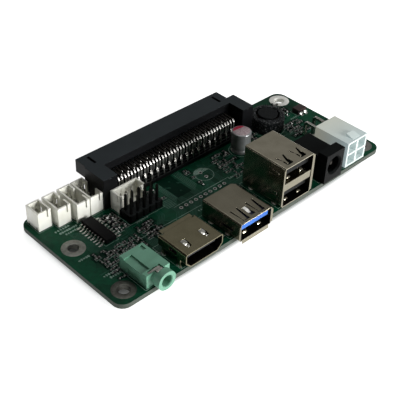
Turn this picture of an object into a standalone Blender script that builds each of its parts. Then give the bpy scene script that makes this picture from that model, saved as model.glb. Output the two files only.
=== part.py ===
"""Single board computer: a 114 x 47 mm carrier board with its connectors.

Lengths in this file are millimetres and are turned into metres when a mesh is made.
The board datum is the front left corner of the board's top face: X runs along the
front edge, Y towards the card connector and Z up.
"""
import math

import bmesh
import bpy
from mathutils import Matrix, Vector

MM = 0.001

# --- driving dimensions -------------------------------------------------------------
BOARD_LENGTH = 114.0
BOARD_WIDTH = 47.0
BOARD_THICKNESS = 1.6
BOARD_CORNER = 3.4
TAIL_END = -3.0            # every solder tail ends here, below the board's top face
SEAT = 0.1                 # parts sit this far above the board
FRONT_OVERHANG = 2.85      # the single USB port's lip in front of the board
BACK_OVERHANG = 2.2        # the card connector's mouth behind the board

MOUNT_HOLES = {"1": (5.1, 5.0), "2": (5.25, 27.5), "3": (109.65, 42.5), "4": (109.6, 5.0)}
MOUNT_BORE = 1.7           # radius inside the plating
MOUNT_LAND = 3.6           # radius of the plated land
PLATING = 0.15

CARD_PITCH = 1.27
CARD_CONTACTS = 40         # on each side of the card
HEADER_PITCH = 2.0
PIN_STRIP_PITCH = 2.54

ROUND_SIDES = 24
SMALL_SIDES = 12

PARTS = None
CUTTERS = None
DATUM = None
DRILLED = []               # outlines of the holes that the tails need in the board


# --- scene and materials ------------------------------------------------------------
def clear_scene():
    for obj in list(bpy.data.objects):
        bpy.data.objects.remove(obj, do_unlink=True)


def make_collection(name):
    collection = bpy.data.collections.new(name)
    bpy.context.scene.collection.children.link(collection)
    return collection


def make_material(name, colour, metallic, roughness):
    material = bpy.data.materials.new(name)
    material.use_nodes = True
    shader = material.node_tree.nodes["Principled BSDF"]
    shader.inputs["Base Color"].default_value = (*colour, 1.0)
    shader.inputs["Metallic"].default_value = metallic
    shader.inputs["Roughness"].default_value = roughness
    material.diffuse_color = (*colour, 1.0)
    return material


MATERIALS = {
    "solder_mask": ((0.0, 0.05, 0.025), 0.0, 0.4),
    "tinned": ((0.62, 0.62, 0.58), 1.0, 0.35),
    "black_plastic": ((0.015, 0.018, 0.02), 0.0, 0.45),
    "white_nylon": ((0.8, 0.8, 0.74), 0.0, 0.5),
    "clear_nylon": ((0.6, 0.62, 0.58), 0.0, 0.35),
    "mint_plastic": ((0.12, 0.28, 0.18), 0.0, 0.4),
    "blue_plastic": ((0.01, 0.2, 0.75), 0.0, 0.4),
    "nickel_steel": ((0.3, 0.28, 0.24), 1.0, 0.35),
    "gold": ((0.75, 0.55, 0.22), 1.0, 0.3),
    "aluminium": ((0.55, 0.55, 0.56), 1.0, 0.35),
    "ferrite": ((0.02, 0.022, 0.025), 0.0, 0.6),
    "enamelled_copper": ((0.35, 0.12, 0.04), 1.0, 0.4),
    "rubber": ((0.03, 0.03, 0.03), 0.0, 0.8),
}


def component(name, x, y, turn=0.0):
    """An empty at a component's own datum on the board, turned about Z."""
    place = bpy.data.objects.new(name, None)
    place.empty_display_size = 3 * MM
    place.location = (x * MM, y * MM, 0.0)
    place.rotation_euler = (0.0, 0.0, math.radians(turn))
    place.parent = DATUM
    PARTS.objects.link(place)
    return place


def board_point(place, x, y):
    """A component's local point in board millimetres."""
    turned = Matrix.Rotation(place.rotation_euler.z, 2) @ Vector((x, y))
    return turned.x + place.location.x / MM, turned.y + place.location.y / MM


def drill(place, x, y, width, depth=None):
    """A square or slotted hole for a tail, in the component's own directions."""
    half_x, half_y = width / 2, (depth or width) / 2
    corners = ((-half_x, -half_y), (half_x, -half_y), (half_x, half_y), (-half_x, half_y))
    DRILLED.append([board_point(place, x + dx, y + dy) for dx, dy in corners])


def drill_round(place, x, y, radius, sides=SMALL_SIDES):
    DRILLED.append(circle(*board_point(place, x, y), radius, sides))


def circle(x, y, radius, sides):
    steps = (2 * math.pi * k / sides for k in range(sides))
    return [(x + radius * math.cos(a), y + radius * math.sin(a)) for a in steps]


# --- shapes: each returns a function that adds itself to a bmesh ----------------------
def box(x, y, z):
    def add(bm):
        size = [(b - a) * MM for a, b in (x, y, z)]
        centre = [(a + b) / 2 * MM for a, b in (x, y, z)]
        bmesh.ops.create_cube(bm, size=1.0, matrix=Matrix.LocRotScale(centre, None, size))
    return add


AXIS_TURN = {
    "X": Matrix.Rotation(math.radians(90), 4, "Y"),
    "Y": Matrix.Rotation(math.radians(-90), 4, "X"),
    "Z": Matrix.Identity(4),
}


def rod(axis, centre, radius, span, sides=ROUND_SIDES):
    """A cylinder along an axis; centre gives its other two coordinates in order."""
    def add(bm):
        middle = list(centre)
        middle.insert("XYZ".index(axis), sum(span) / 2)
        place = Matrix.Translation(Vector(middle) * MM) @ AXIS_TURN[axis]
        bmesh.ops.create_cone(bm, cap_ends=True, segments=sides, radius1=radius * MM,
                              radius2=radius * MM, depth=(span[1] - span[0]) * MM, matrix=place)
    return add


def prism(axis, outline, span):
    """A flat outline in the other two coordinates, pulled along an axis."""
    def add(bm):
        index = "XYZ".index(axis)
        corners = []
        for point in outline:
            corner = list(point)
            corner.insert(index, span[0])
            corners.append(bm.verts.new(Vector(corner) * MM))
        face = bm.faces.new(corners)
        pulled = bmesh.ops.extrude_face_region(bm, geom=[face])["geom"]
        shift = Vector((0, 0, 0))
        shift[index] = (span[1] - span[0]) * MM
        moved = [item for item in pulled if isinstance(item, bmesh.types.BMVert)]
        bmesh.ops.translate(bm, verts=moved, vec=shift)
        bmesh.ops.recalc_face_normals(bm, faces=bm.faces)
    return add


def strip(axis, path, thickness, span):
    """Bent sheet metal: a path of the given thickness, pulled across its width."""
    points = [Vector(p) for p in path]
    sides = ([], [])
    for k, point in enumerate(points):
        before = (point - points[k - 1]).normalized() if k else None
        after = (points[k + 1] - point).normalized() if k + 1 < len(points) else None
        along = ((before or after) + (after or before)).normalized()
        normal = Vector((-along.y, along.x))
        reach = thickness / 2 / max(0.3, normal.dot(Vector((-(after or before).y, (after or before).x))))
        sides[0].append(point + normal * reach)
        sides[1].append(point - normal * reach)
    return prism(axis, [tuple(p) for p in sides[0] + sides[1][::-1]], span)


def ring_outline(corners, wall):
    """A closed outline and the same outline moved inwards by the wall."""
    points = [Vector(p) for p in corners]
    inner = []
    for k, point in enumerate(points):
        before = (point - points[k - 1]).normalized()
        after = (points[(k + 1) % len(points)] - point).normalized()
        normal = (Vector((-before.y, before.x)) + Vector((-after.y, after.x))).normalized()
        inner.append(point + normal * wall / normal.dot(Vector((-after.y, after.x))))
    return corners, [tuple(p) for p in inner]


def mesh_object(name, shapes, place, collection):
    bm = bmesh.new()
    for shape in shapes:
        shape(bm)
    mesh = bpy.data.meshes.new(name)
    bm.to_mesh(mesh)
    bm.free()
    obj = bpy.data.objects.new(name, mesh)
    obj.parent = place
    collection.objects.link(obj)
    return obj


def helper(name, shapes, place):
    """Shapes that cut or extend a part; they are never seen or built."""
    obj = mesh_object(name, shapes, place, CUTTERS)
    obj.display_type = "WIRE"
    obj.hide_render = True
    return obj


def apply_shapes(obj, shapes, operation, place):
    """Boolean shapes that don't touch each other go together, in one list."""
    for group in shapes:
        group = group if isinstance(group, list) else [group]
        other = helper(f"{obj.name}_{operation.lower()}_{len(obj.modifiers)}", group, place)
        modifier = obj.modifiers.new(operation.title(), "BOOLEAN")
        modifier.operation = operation
        modifier.solver = "EXACT"
        modifier.object = other


def part(name, shapes, material, place, join=(), cut=(), origin=None, smooth=False):
    """One named sub-part; join and cut are Boolean shapes in the component's frame."""
    obj = mesh_object(name, shapes, place, PARTS)
    apply_shapes(obj, join, "UNION", place)
    apply_shapes(obj, cut, "DIFFERENCE", place)
    obj.data.materials.append(FINISH[material])
    if origin is not None:
        offset = Vector(origin) * MM
        obj.data.transform(Matrix.Translation(-offset))
        obj.location = offset
    if smooth:
        obj.data.shade_smooth()
        obj.data.set_sharp_from_angle(angle=math.radians(35))
    return obj


def turned(name, profile, material, place, steps=20):
    """A turned part: a profile of (radius, height) pairs, down its outer side."""
    bm = bmesh.new()
    verts = [bm.verts.new((r * MM, 0.0, z * MM)) for r, z in profile]
    for a, b in zip(verts, verts[1:]):
        bm.edges.new((a, b))
    if profile[0][0] > 0:
        bm.edges.new((verts[-1], verts[0]))
    mesh = bpy.data.meshes.new(name)
    bm.to_mesh(mesh)
    bm.free()
    obj = bpy.data.objects.new(name, mesh)
    obj.parent = place
    PARTS.objects.link(obj)
    screw = obj.modifiers.new("Turn", "SCREW")
    screw.steps = screw.render_steps = steps
    screw.use_merge_vertices = True
    screw.merge_threshold = 1e-6
    obj.data.materials.append(FINISH[material])
    return obj


def spread(count, pitch):
    """Evenly spaced places, centred on zero."""
    return [(k - (count - 1) / 2) * pitch for k in range(count)]


# --- the board ------------------------------------------------------------------------
def rounded_outline(length, width, radius, steps=6):
    points = []
    centres = ((length - radius, radius), (length - radius, width - radius),
               (radius, width - radius), (radius, radius))
    for quarter, (cx, cy) in enumerate(centres):
        for k in range(steps + 1):
            angle = math.radians(90 * (quarter - 1) + 90 * k / steps)
            points.append((cx + radius * math.cos(angle), cy + radius * math.sin(angle)))
    return points


def circuit_board():
    curve = bpy.data.curves.new("circuit_board_outline", "CURVE")
    curve.dimensions = "2D"
    curve.fill_mode = "BOTH"
    curve.extrude = BOARD_THICKNESS / 2 * MM
    holes = [circle(x, y, MOUNT_BORE + PLATING + 0.1, ROUND_SIDES) for x, y in MOUNT_HOLES.values()]
    for outline in [rounded_outline(BOARD_LENGTH, BOARD_WIDTH, BOARD_CORNER), *holes, *DRILLED]:
        spline = curve.splines.new("POLY")
        spline.points.add(len(outline) - 1)
        for point, (x, y) in zip(spline.points, outline):
            point.co = (x * MM, y * MM, 0.0, 1.0)
        spline.use_cyclic_u = True
    outline_object = bpy.data.objects.new("circuit_board_outline", curve)
    PARTS.objects.link(outline_object)
    evaluated = outline_object.evaluated_get(bpy.context.evaluated_depsgraph_get())
    mesh = bpy.data.meshes.new_from_object(evaluated)
    bpy.data.objects.remove(outline_object)
    mesh.transform(Matrix.Translation((0, 0, -BOARD_THICKNESS / 2 * MM)))
    bm = bmesh.new()
    bm.from_mesh(mesh)
    bmesh.ops.remove_doubles(bm, verts=bm.verts, dist=1e-6)
    bmesh.ops.recalc_face_normals(bm, faces=bm.faces)
    bm.to_mesh(mesh)
    bm.free()
    board = bpy.data.objects.new("circuit_board", mesh)
    board.parent = DATUM
    PARTS.objects.link(board)
    mesh.materials.clear()
    mesh.materials.append(FINISH["solder_mask"])


def mounting_hole_platings():
    """Plated eyelets: a barrel through the board and a land on each face."""
    top, bottom = 0.08, -BOARD_THICKNESS - 0.08
    skin = 0.06
    profile = [(MOUNT_BORE, top), (MOUNT_LAND, top), (MOUNT_LAND, top - skin),
               (MOUNT_BORE + PLATING, top - skin), (MOUNT_BORE + PLATING, bottom + skin),
               (MOUNT_LAND, bottom + skin), (MOUNT_LAND, bottom), (MOUNT_BORE, bottom)]
    for number, (x, y) in MOUNT_HOLES.items():
        turned(f"mounting_hole_plating_{number}", profile, "tinned",
               component(f"mounting_hole_{number}", x, y))


# --- card edge connector --------------------------------------------------------------
def card_edge_connector():
    """A right-angle card connector: its mouth overhangs the back edge of the board."""
    place = component("card_edge_connector", 54.7, 34.2)
    row = CARD_PITCH * (CARD_CONTACTS - 1) / 2
    reach = row + 0.65
    flange = [(-31.5, 6.5), (-30.3, 5.3), (27.6, 5.3), (28.8, 6.5), (28.8, 11.0), (-31.5, 11.0)]
    part("edge_connector_housing", [box((-32, 32), (0.7, 10), (SEAT, 11.0))], "black_plastic", place,
         join=[prism("Y", flange, (9.5, 15.0)),
               [rod("Z", (x, 5.0), 0.9, (-1.4, 0.6), SMALL_SIDES) for x in (-29.3, 29.6)]],
         cut=[box((-26.7, 27.2), (-1, 7.1), (-1, 12)),
              box((-27, 26.5), (8.4, 16), (6.2, 9.4)),
              [box((-reach, reach), (6.5, 8.6), z) for z in ((6.5, 7.1), (7.7, 8.3))],
              [box((x - 0.45, x + 0.45), (9.6, 13.7), (10.2, 12)) for x in (-27.95, 25.25)]])
    for x in (-29.3, 29.6):
        drill_round(place, x, 5.0, 1.05)

    upper_rows, lower_rows = (1.8, 3.1), (4.4, 5.7)
    part("edge_connector_tail_guide", [box((-26.4, 26.9), (1.0, 6.8), (0.15, 1.4))],
         "black_plastic", place,
         cut=[[box((-reach, reach), (y - 0.3, y + 0.3), (0, 2)) for y in upper_rows + lower_rows]])

    upper, lower = [], []
    for k, x in enumerate(spread(CARD_CONTACTS, CARD_PITCH)):
        tail = upper_rows[k % 2]
        path = [(14, 8.7), (9.2, 8.0), (2.9, 7.6), (2.4, 7.1), (2.35, 4.2), (tail, 3.0), (tail, TAIL_END)]
        upper.append(strip("X", path, 0.25, (x - 0.25, x + 0.25)))
        drill(place, x, tail, 0.8, 0.6)
        tail = lower_rows[k % 2]
        path = [(14, 6.9), (9.2, 6.8), (tail + 0.2, 6.8), (tail, 6.6), (tail, TAIL_END)]
        lower.append(strip("X", path, 0.25, (x - 0.25, x + 0.25)))
        drill(place, x, tail, 0.8, 0.6)
    part("edge_connector_upper_contacts", [box((-reach + 0.3, reach - 0.3), (8.7, 9.1), (7.8, 8.25))],
         "gold", place, join=[upper])
    part("edge_connector_lower_contacts", [box((-reach + 0.3, reach - 0.3), (8.7, 9.1), (6.6, 7.0))],
         "gold", place, join=[lower])


# --- white wire headers and the pin strip ---------------------------------------------
def arch(centre, half_width, floor, crown, steps=6):
    """An arch outline: straight sides and a round top."""
    spring = crown - half_width
    arc = (math.pi * k / steps for k in range(steps + 1))
    top = [(centre + half_width * math.cos(a), spring + half_width * math.sin(a)) for a in arc]
    return [(centre - half_width, floor), (centre + half_width, floor), *top]


def wire_header(name, pins, x, y, turn=0.0):
    """An open-topped header; the +X side is open in the middle, with an arch each side."""
    place = component(name, x, y, turn)
    half_width, height, floor, wall = 2.3, 6.65, 1.7, 0.6
    half = (HEADER_PITCH * (pins - 1) + 4.1) / 2
    opening = HEADER_PITCH * (pins - 2) / 2
    arch_centre = (opening + half) / 2
    places = spread(pins, HEADER_PITCH)
    side = [prism("X", arch(s * arch_centre, 0.5, floor, 5.2), (1.5, 2.6)) for s in (-1, 1)]
    if opening:
        side.append(box((1.5, 2.6), (-opening, opening), (floor, 8)))
    bar_end = places[-1] + 0.4
    part(f"{name}_housing", [box((-half_width, half_width), (-half, half), (SEAT, height))],
         "white_nylon", place,
         cut=[box((-half_width + wall, half_width - wall), (-half + wall, half - wall), (floor, 8)),
              side,
              box((0.8, 1.3), (-half - 0.1, -half + wall + 0.1), (4.0, 8)),
              box((-0.8, 0.8), (-bar_end - 0.2, bar_end + 0.2), (0, 0.95)),
              [box((-0.4, 0.4), (p - 0.4, p + 0.4), (0.5, 3)) for p in places]])
    part(f"{name}_pins", [box((-0.4, 0.4), (-bar_end, bar_end), (0.35, 0.75))], "tinned", place,
         join=[[box((-0.25, 0.25), (p - 0.25, p + 0.25), (TAIL_END, 5.7)) for p in places]])
    for p in places:
        drill(place, 0, p, 0.8)


def pin_strip():
    """A two-row strip of bare square pins in a low black base."""
    place = component("pin_strip", 30.75, 27.4)
    columns, rows = spread(5, PIN_STRIP_PITCH), spread(2, PIN_STRIP_PITCH)
    grid = [(x, y) for x in columns for y in rows]
    end = columns[-1] + 0.45
    half_x, half_y = 2.5 * PIN_STRIP_PITCH, PIN_STRIP_PITCH
    part("pin_strip_base", [box((-half_x, half_x), (-half_y, half_y), (SEAT, 2.54))],
         "black_plastic", place,
         cut=[box((-end - 0.2, end + 0.2), (-1.9, 1.9), (0, 0.95)),
              [box((x - 0.45, x + 0.45), (y - 0.45, y + 0.45), (0.5, 3)) for x, y in grid]])
    links = [box((-end, end), (y - 0.2, y + 0.2), (0.35, 0.75)) for y in rows]
    part("pin_strip_pins", [box((-0.2, 0.2), (-1.4, 1.4), (0.4, 0.7))], "tinned", place,
         join=[links, [box((x - 0.32, x + 0.32), (y - 0.32, y + 0.32), (TAIL_END, 8.5))
                       for x, y in grid]])
    for x, y in grid:
        drill(place, x, y, 0.95)


# --- chip and power diode -------------------------------------------------------------
def control_chip():
    place = component("control_chip", 15.05, 28.2)
    leads, half = 9, 5.8
    outline = [(-1.95, 0.95), (-1.8, SEAT), (1.8, SEAT), (1.95, 0.95), (1.8, 1.75), (-1.8, 1.75)]
    part("control_chip_body", [prism("Y", outline, (-half, half))], "black_plastic", place,
         cut=[[box(sorted((s * 1.15, s * 2.1)), (-5.45, 5.45), (0.8, 1.1)) for s in (-1, 1)]])
    for side, s in (("left", -1), ("right", 1)):
        path = [(s * 1.5, 0.95), (s * 2.35, 0.95), (s * 2.65, 0.18), (s * 3.25, 0.12)]
        rows = [strip("Y", path, 0.14, (y - 0.2, y + 0.2)) for y in spread(leads, 1.27)]
        part(f"control_chip_{side}_leads", [box(sorted((s * 1.3, s * 1.6)), (-5.3, 5.3), (0.86, 1.04))],
             "tinned", place, join=[rows])


def power_diode():
    place = component("power_diode", 109.6, 33.0)
    part("power_diode_body", [box((-2.1, 2.1), (-1.5, 1.4), (SEAT, 1.9))], "black_plastic", place,
         cut=[box((-1.9, 1.9), (-1.7, -0.5), (0.75, 1.15))])
    path = [(-0.75, 0.95), (-1.9, 0.95), (-2.2, 0.22), (-2.9, 0.14)]
    part("power_diode_leads", [box((-1.75, 1.75), (-0.9, -0.7), (0.82, 1.08))], "tinned", place,
         join=[[strip("X", path, 0.18, (x - 0.65, x + 0.65)) for x in (-1.05, 1.05)]])


# --- round sockets and plugs ----------------------------------------------------------
AUDIO_AXIS = 2.7
AUDIO_SPRING_ROOT = (2.6, 10.5)


def audio_jack():
    """A 3.5 mm jack; the plug pushes its two leaf springs apart."""
    place = component("audio_jack", 14.25, 0.0)
    root_x, root_y = AUDIO_SPRING_ROOT
    channels = [box(sorted((s * 1.4, s * 3.3)), (3.2, 11.1), (0.9, 3.9)) for s in (-1, 1)]
    shafts = [box(sorted((s * 2.1, s * 3.1)), (10.0, 11.0), (-0.5, 1.2)) for s in (-1, 1)]
    part("audio_jack_housing", [box((-4.55, 3.8), (0.85, 12.2), (SEAT, 4.75))], "mint_plastic", place,
         join=[rod("Y", (0, AUDIO_AXIS), 2.55, (-0.6, 1.3)),
               rod("Y", (0, AUDIO_AXIS), 3.1, (-2.5, -0.35))],
         cut=[rod("Y", (0, AUDIO_AXIS), 1.8, (-3, 11.0)),
              channels, shafts,
              box((-5, -1.95), (2.7, 10.4), (4.35, 6)),
              box((-1.5, 1.5), (-0.2, 2.6), (4.15, 6)),
              box((-3.4, -1.4), (1.2, 2.4), (4.15, 6)),
              box((-3.4, -2.6), (1.2, 2.4), (-0.5, 4.4)),
              box((2.35, 4), (10.75, 11.15), (4.4, 6))], smooth=True)
    clip = [(0.0, 4.35), (0.35, 4.6), (1.2, 4.6), (1.5, 4.35), (2.3, 4.35)]
    part("audio_jack_ground_clip", [strip("X", clip, 0.16, (-1.1, 1.1))], "tinned", place,
         join=[box((-3.2, -1.0), (1.55, 2.2), (4.29, 4.41)),
               box((-3.2, -2.8), (1.6, 2.1), (TAIL_END, 4.4))])
    drill(place, -3.0, 1.85, 0.8)
    for name, s in (("tip", 1), ("ring", -1)):
        path = [(s * root_x, root_y), (s * 2.55, 6.0), (s * 1.65, 4.2), (s * 2.1, 3.6)]
        part(f"audio_jack_{name}_spring", [strip("Z", path, 0.2, (1.6, 3.4))], "gold", place,
             join=[box((s * root_x - 0.25, s * root_x + 0.25), (root_y - 0.25, root_y + 0.25),
                       (TAIL_END, 3.45))],
             origin=(s * root_x, root_y, 2.5))
        drill(place, s * root_x, root_y, 0.9)


DC_AXIS = 5.8
DC_SPRING_ROOT = (11.0, 2.0)


def dc_jack():
    """A barrel power jack; the plug pushes the leaf under its bore down."""
    place = component("dc_jack", 86.9, 0.0)
    part("dc_jack_housing", [box((-4.27, 4.27), (-0.9, 2.85), (SEAT, 10.75))], "black_plastic", place,
         join=[box((-3.9, 3.9), (2.5, 13.6), (SEAT, 8.9))],
         cut=[rod("Y", (0, DC_AXIS), 2.85, (-1.5, 10.5)),
              rod("Y", (0, DC_AXIS), 1.15, (9, 14.5)),
              box((-1.3, 1.3), (1.0, 11.9), (1.0, 3.8)),
              box((-0.6, 0.6), (11.15, 11.8), (-0.5, 2.0))], smooth=True)
    part("dc_jack_centre_pin", [rod("Y", (0, DC_AXIS), 1.0, (0.8, 13.9), 16)], "tinned", place,
         join=[box((-1.1, 1.1), (13.8, 14.1), (TAIL_END, 6.9))], smooth=True)
    drill(place, 0, 13.95, 2.5, 0.6)
    root_y, root_z = DC_SPRING_ROOT
    path = [(root_y, root_z), (6.0, 2.3), (3.4, 3.35), (2.4, 2.95)]
    part("dc_jack_leaf_spring", [strip("X", path, 0.25, (-1.0, 1.0))], "gold", place,
         origin=(0, root_y, root_z))
    part("dc_jack_spring_terminal", [box((-0.4, 0.4), (11.3, 11.6), (TAIL_END, 2.5))], "tinned", place)
    drill(place, 0, 11.45, 1.1, 0.6)


# --- box-shaped ports -----------------------------------------------------------------
def shell_tube(name, corners, span, place, join=(), cut=()):
    """A sheet steel sleeve: an outline with a wall, pulled along Y."""
    outer, inner = ring_outline(corners, 0.35)
    hollow = [prism("Y", inner, (span[0] - 1, span[1] + 1))]
    obj = part(name, [prism("Y", outer, span)], "nickel_steel", place, cut=[hollow])
    apply_shapes(obj, join, "UNION", place)
    apply_shapes(obj, cut, "DIFFERENCE", place)
    return obj


def shell_legs(place, x, rows, top):
    """Four legs of a shell, with their slots in the board."""
    for y in rows:
        for s in (-1, 1):
            drill(place, s * x, y, 0.75, 1.7)
    return [box((s * x - 0.17, s * x + 0.17), (y - 0.6, y + 0.6), (TAIL_END, top))
            for y in rows for s in (-1, 1)]


def contact_comb(name, place, path, places, width, thickness, bar_y, bar_z, material="gold"):
    """A row of contacts, held together by a hidden carrier bar."""
    end = places[-1] + width / 2
    part(name, [box((-end, end), bar_y, bar_z)], material, place,
         join=[[strip("X", path, thickness, (x - width / 2, x + width / 2)) for x in places]])


def hdmi_port():
    place = component("hdmi_port", 29.83, 0.0)
    corners = [(-7.22, 5.65), (-7.22, 2.4), (-5.3, 0.4), (5.3, 0.4), (7.22, 2.4), (7.22, 5.65)]
    shell_tube("hdmi_shell", corners, (-0.9, 10.7), place,
               join=[box((-5.8, 6.1), (10.5, 12.1), (5.3, 5.65)), shell_legs(place, 7.04, (2.0, 8.6), 3.0)],
               cut=[[box((s * 3.5 - 0.9, s * 3.5 + 0.9), (1.4, 4.9), (5, 6)) for s in (-1, 1)]])
    part("hdmi_insulator", [box((-6.7, 6.7), (7.6, 10.4), (2.7, 5.15))], "black_plastic", place,
         join=[box((-5.0, 5.0), (7.6, 10.4), (0.85, 2.8)), box((-5.9, 5.9), (0.9, 7.7), (2.55, 3.75))],
         cut=[box((-5.2, 5.2), (7.5, 10.6), (3.76, 4.15))])
    path = [(1.4, 3.92), (10.9, 3.92), (11.15, 3.65), (11.15, 0.4), (11.35, 0.14), (12.0, 0.14)]
    contact_comb("hdmi_contacts", place, path, spread(10, 1.0), 0.5, 0.14, (8.4, 8.8), (3.82, 4.05))


def usb3_port():
    place = component("usb3_port", 49.15, 0.0)
    corners = [(-6.6, 6.55), (-6.6, SEAT), (6.6, SEAT), (6.6, 6.55)]
    lips = [box((-5.6, 5.6), (-FRONT_OVERHANG, -2.5), (-0.9, 0.4)),
            box((-7.1, -6.3), (-FRONT_OVERHANG, -2.5), (1.0, 5.8)),
            box((6.3, 7.1), (-FRONT_OVERHANG, -2.5), (1.0, 5.8))]
    corner = [[(s * 4.4, 13.5), (s * 6.8, 13.5), (s * 6.8, 10.9)] for s in (-1, 1)]
    shell_tube("usb3_shell", corners, (-2.6, 13.3), place,
               join=[box((-6.4, 6.4), (12.95, 13.3), (1.2, 6.35)), lips,
                     shell_legs(place, 6.42, (2.6, 9.6), 0.9)],
               cut=[[prism("Z", points, (6.0, 7)) for points in corner],
                    box((-5.6, 5.6), (10.6, 12.8), (-1, 0.9)),
                    [box((s * 3.2 - 1.1, s * 3.2 + 1.1), (-1.6, 3.8), (6, 7)) for s in (-1, 1)]])
    part("usb3_insulator", [box((-6.0, 6.0), (8.2, 10.6), (0.65, 6.0))], "blue_plastic", place,
         join=[box((-5.6, 5.6), (-1.6, 8.3), (3.85, 5.95))],
         cut=[box((-4.9, 4.9), (8.1, 10.7), (2.95, 3.84))])
    path = [(-1.0, 3.66), (10.9, 3.66), (11.2, 3.36), (11.2, TAIL_END)]
    contact_comb("usb3_signal_contacts", place, path, spread(4, 2.33), 0.4, 0.14, (9.0, 9.4), (3.56, 3.76))
    path = [(3.0, 3.25), (12.0, 3.25), (12.3, 2.95), (12.3, TAIL_END)]
    contact_comb("usb3_fast_contacts", place, path, spread(5, 2.33), 0.3, 0.14, (9.0, 9.4), (3.15, 3.35))
    for count, y in ((4, 11.2), (5, 12.3)):
        for x in spread(count, 2.33):
            drill(place, x, y, 0.7, 0.6)


def usb2_stack():
    place = component("usb2_stack", 70.1, 0.0)
    height = 14.7
    corners = [(-6.5, height), (-6.5, SEAT), (6.5, SEAT), (6.5, height)]
    lips = [box((6.2, 7.2), (-0.05, 0.3), (0.7, height - 0.6)),
            box((-6.9, -6.2), (-0.05, 0.3), (0.7, height - 0.6))]
    shell_tube("usb2_stack_shell", corners, (0.0, 16.8), place,
               join=[box((-6.3, 6.3), (16.45, 16.8), (1.2, height - 0.2)), lips,
                     shell_legs(place, 6.32, (3.4, 13.2), 0.9)],
               cut=[[box((s * 3.0 - 0.9, s * 3.0 + 0.9), (1.6, 5.0), (14, 16)) for s in (-1, 1)],
                    box((-5.4, 5.4), (14.0, 16.3), (-1, 0.9))])
    part("usb2_stack_divider", [strip("X", [(10.6, 8.5), (0.3, 8.5), (0.3, 6.15), (10.6, 6.15)], 0.3,
                                      (-6.0, 6.0))], "nickel_steel", place)
    for level, base, tongue, slot, tail in (("upper", 8.9, 11.3, 11.0, 15.7),
                                            ("lower", 0.65, 3.3, 3.0, 14.7)):
        part(f"usb2_{level}_insulator", [box((-5.9, 5.9), (11.0, 13.8), (base, tongue + 2.2))],
             "black_plastic", place, join=[box((-5.5, 5.5), (1.3, 11.2), (tongue, tongue + 1.8))],
             cut=[box((-4.6, 4.6), (10.9, 14), (slot - 0.2, tongue - 0.01))])
        path = [(1.8, slot + 0.1), (tail - 0.4, slot + 0.1), (tail, slot - 0.3), (tail, TAIL_END)]
        contact_comb(f"usb2_{level}_contacts", place, path, spread(4, 2.33), 0.6, 0.14,
                     (12.2, 12.6), (slot - 0.02, slot + 0.2))
        for x in spread(4, 2.33):
            drill(place, x, tail, 0.9, 0.6)


def power_connector():
    """A clear nylon wire-to-board socket with two rows of two square pins."""
    place = component("power_connector", 99.7, 0.0)
    pin_x, levels = 2.3, {"lower": (2.65, 16.4), "upper": (7.0, 20.2)}
    cells = [box((s * pin_x - 1.9, s * pin_x + 1.9), (-1, 9.5), (z - 1.85, z + 1.85))
             for s in (-1, 1) for z, _ in levels.values()]
    holes = [box((s * pin_x - 0.65, s * pin_x + 0.65), (9, 15), (z - 0.65, z + 0.65))
             for s in (-1, 1) for z, _ in levels.values()]
    ramp = [(1.0, 9.3), (4.2, 9.3), (4.2, 10.3), (3.5, 10.3), (1.0, 9.6)]
    part("power_connector_housing", [box((-4.92, 4.92), (0.3, 14.05), (SEAT, 9.5))], "clear_nylon",
         place, join=[prism("X", ramp, (-1.7, 1.7))], cut=[cells, holes])
    for level, (z, tail) in levels.items():
        for side, s in (("left", -1), ("right", 1)):
            path = [(3.0, z), (tail - 0.8, z), (tail, z - 0.8), (tail, TAIL_END)]
            part(f"power_pin_{level}_{side}", [strip("X", path, 1.0, (s * pin_x - 0.5, s * pin_x + 0.5))],
                 "tinned", place)
            drill(place, s * pin_x, tail, 1.4)


# --- capacitor and inductor -----------------------------------------------------------
def capacitor():
    place = component("capacitor", 76.5, 30.1)
    lead = 1.25
    profile = [(0, 7.75), (3.0, 7.75), (3.3, 7.45), (3.3, 2.1), (3.05, 1.85), (3.05, 1.5),
               (3.3, 1.25), (3.3, 0.2), (2.8, 0.2), (2.8, 7.4), (0, 7.4)]
    turned("capacitor_can", profile, "aluminium", place)
    part("capacitor_bung", [rod("Z", (0, 0), 2.65, (0.15, 1.7))], "rubber", place,
         cut=[[rod("Z", (s * lead, 0), 0.42, (0, 2), SMALL_SIDES) for s in (-1, 1)]])
    for name, s in (("positive", 1), ("negative", -1)):
        part(f"capacitor_{name}_lead", [rod("Z", (s * lead, 0), 0.3, (TAIL_END, 2.6), SMALL_SIDES)],
             "tinned", place)
        drill_round(place, s * lead, 0, 0.45)


def inductor():
    place = component("inductor", 93.8, 34.1)
    turned("inductor_core", [(0, 5.6), (3.65, 5.6), (3.65, 4.75), (1.9, 4.75), (1.9, 1.6), (3.9, 1.6),
                             (3.9, 0.75), (0, 0.75)], "ferrite", place)
    turned("inductor_winding", [(2.1, 4.55), (3.7, 4.55), (3.7, 1.8), (2.1, 1.8)],
           "enamelled_copper", place)
    part("inductor_shield", [rod("Z", (0, 0), 5.95, (SEAT, 4.6))], "ferrite", place,
         cut=[rod("Z", (0, 0), 4.1, (0.6, 6))], smooth=True)


def build():
    for name, finish in MATERIALS.items():
        FINISH[name] = make_material(name, *finish)
    mounting_hole_platings()
    card_edge_connector()
    wire_header("wire_header_a", 2, 4.35, 42.55)
    wire_header("wire_header_b", 3, 9.9, 41.5)
    wire_header("wire_header_c", 4, 15.4, 40.55)
    wire_header("wire_header_d", 4, 20.35, 40.55)
    wire_header("wire_header_e", 4, 29.9, 32.4, turn=-90)
    pin_strip()
    control_chip()
    power_diode()
    audio_jack()
    hdmi_port()
    usb3_port()
    usb2_stack()
    dc_jack()
    power_connector()
    capacitor()
    inductor()
    circuit_board()


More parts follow.
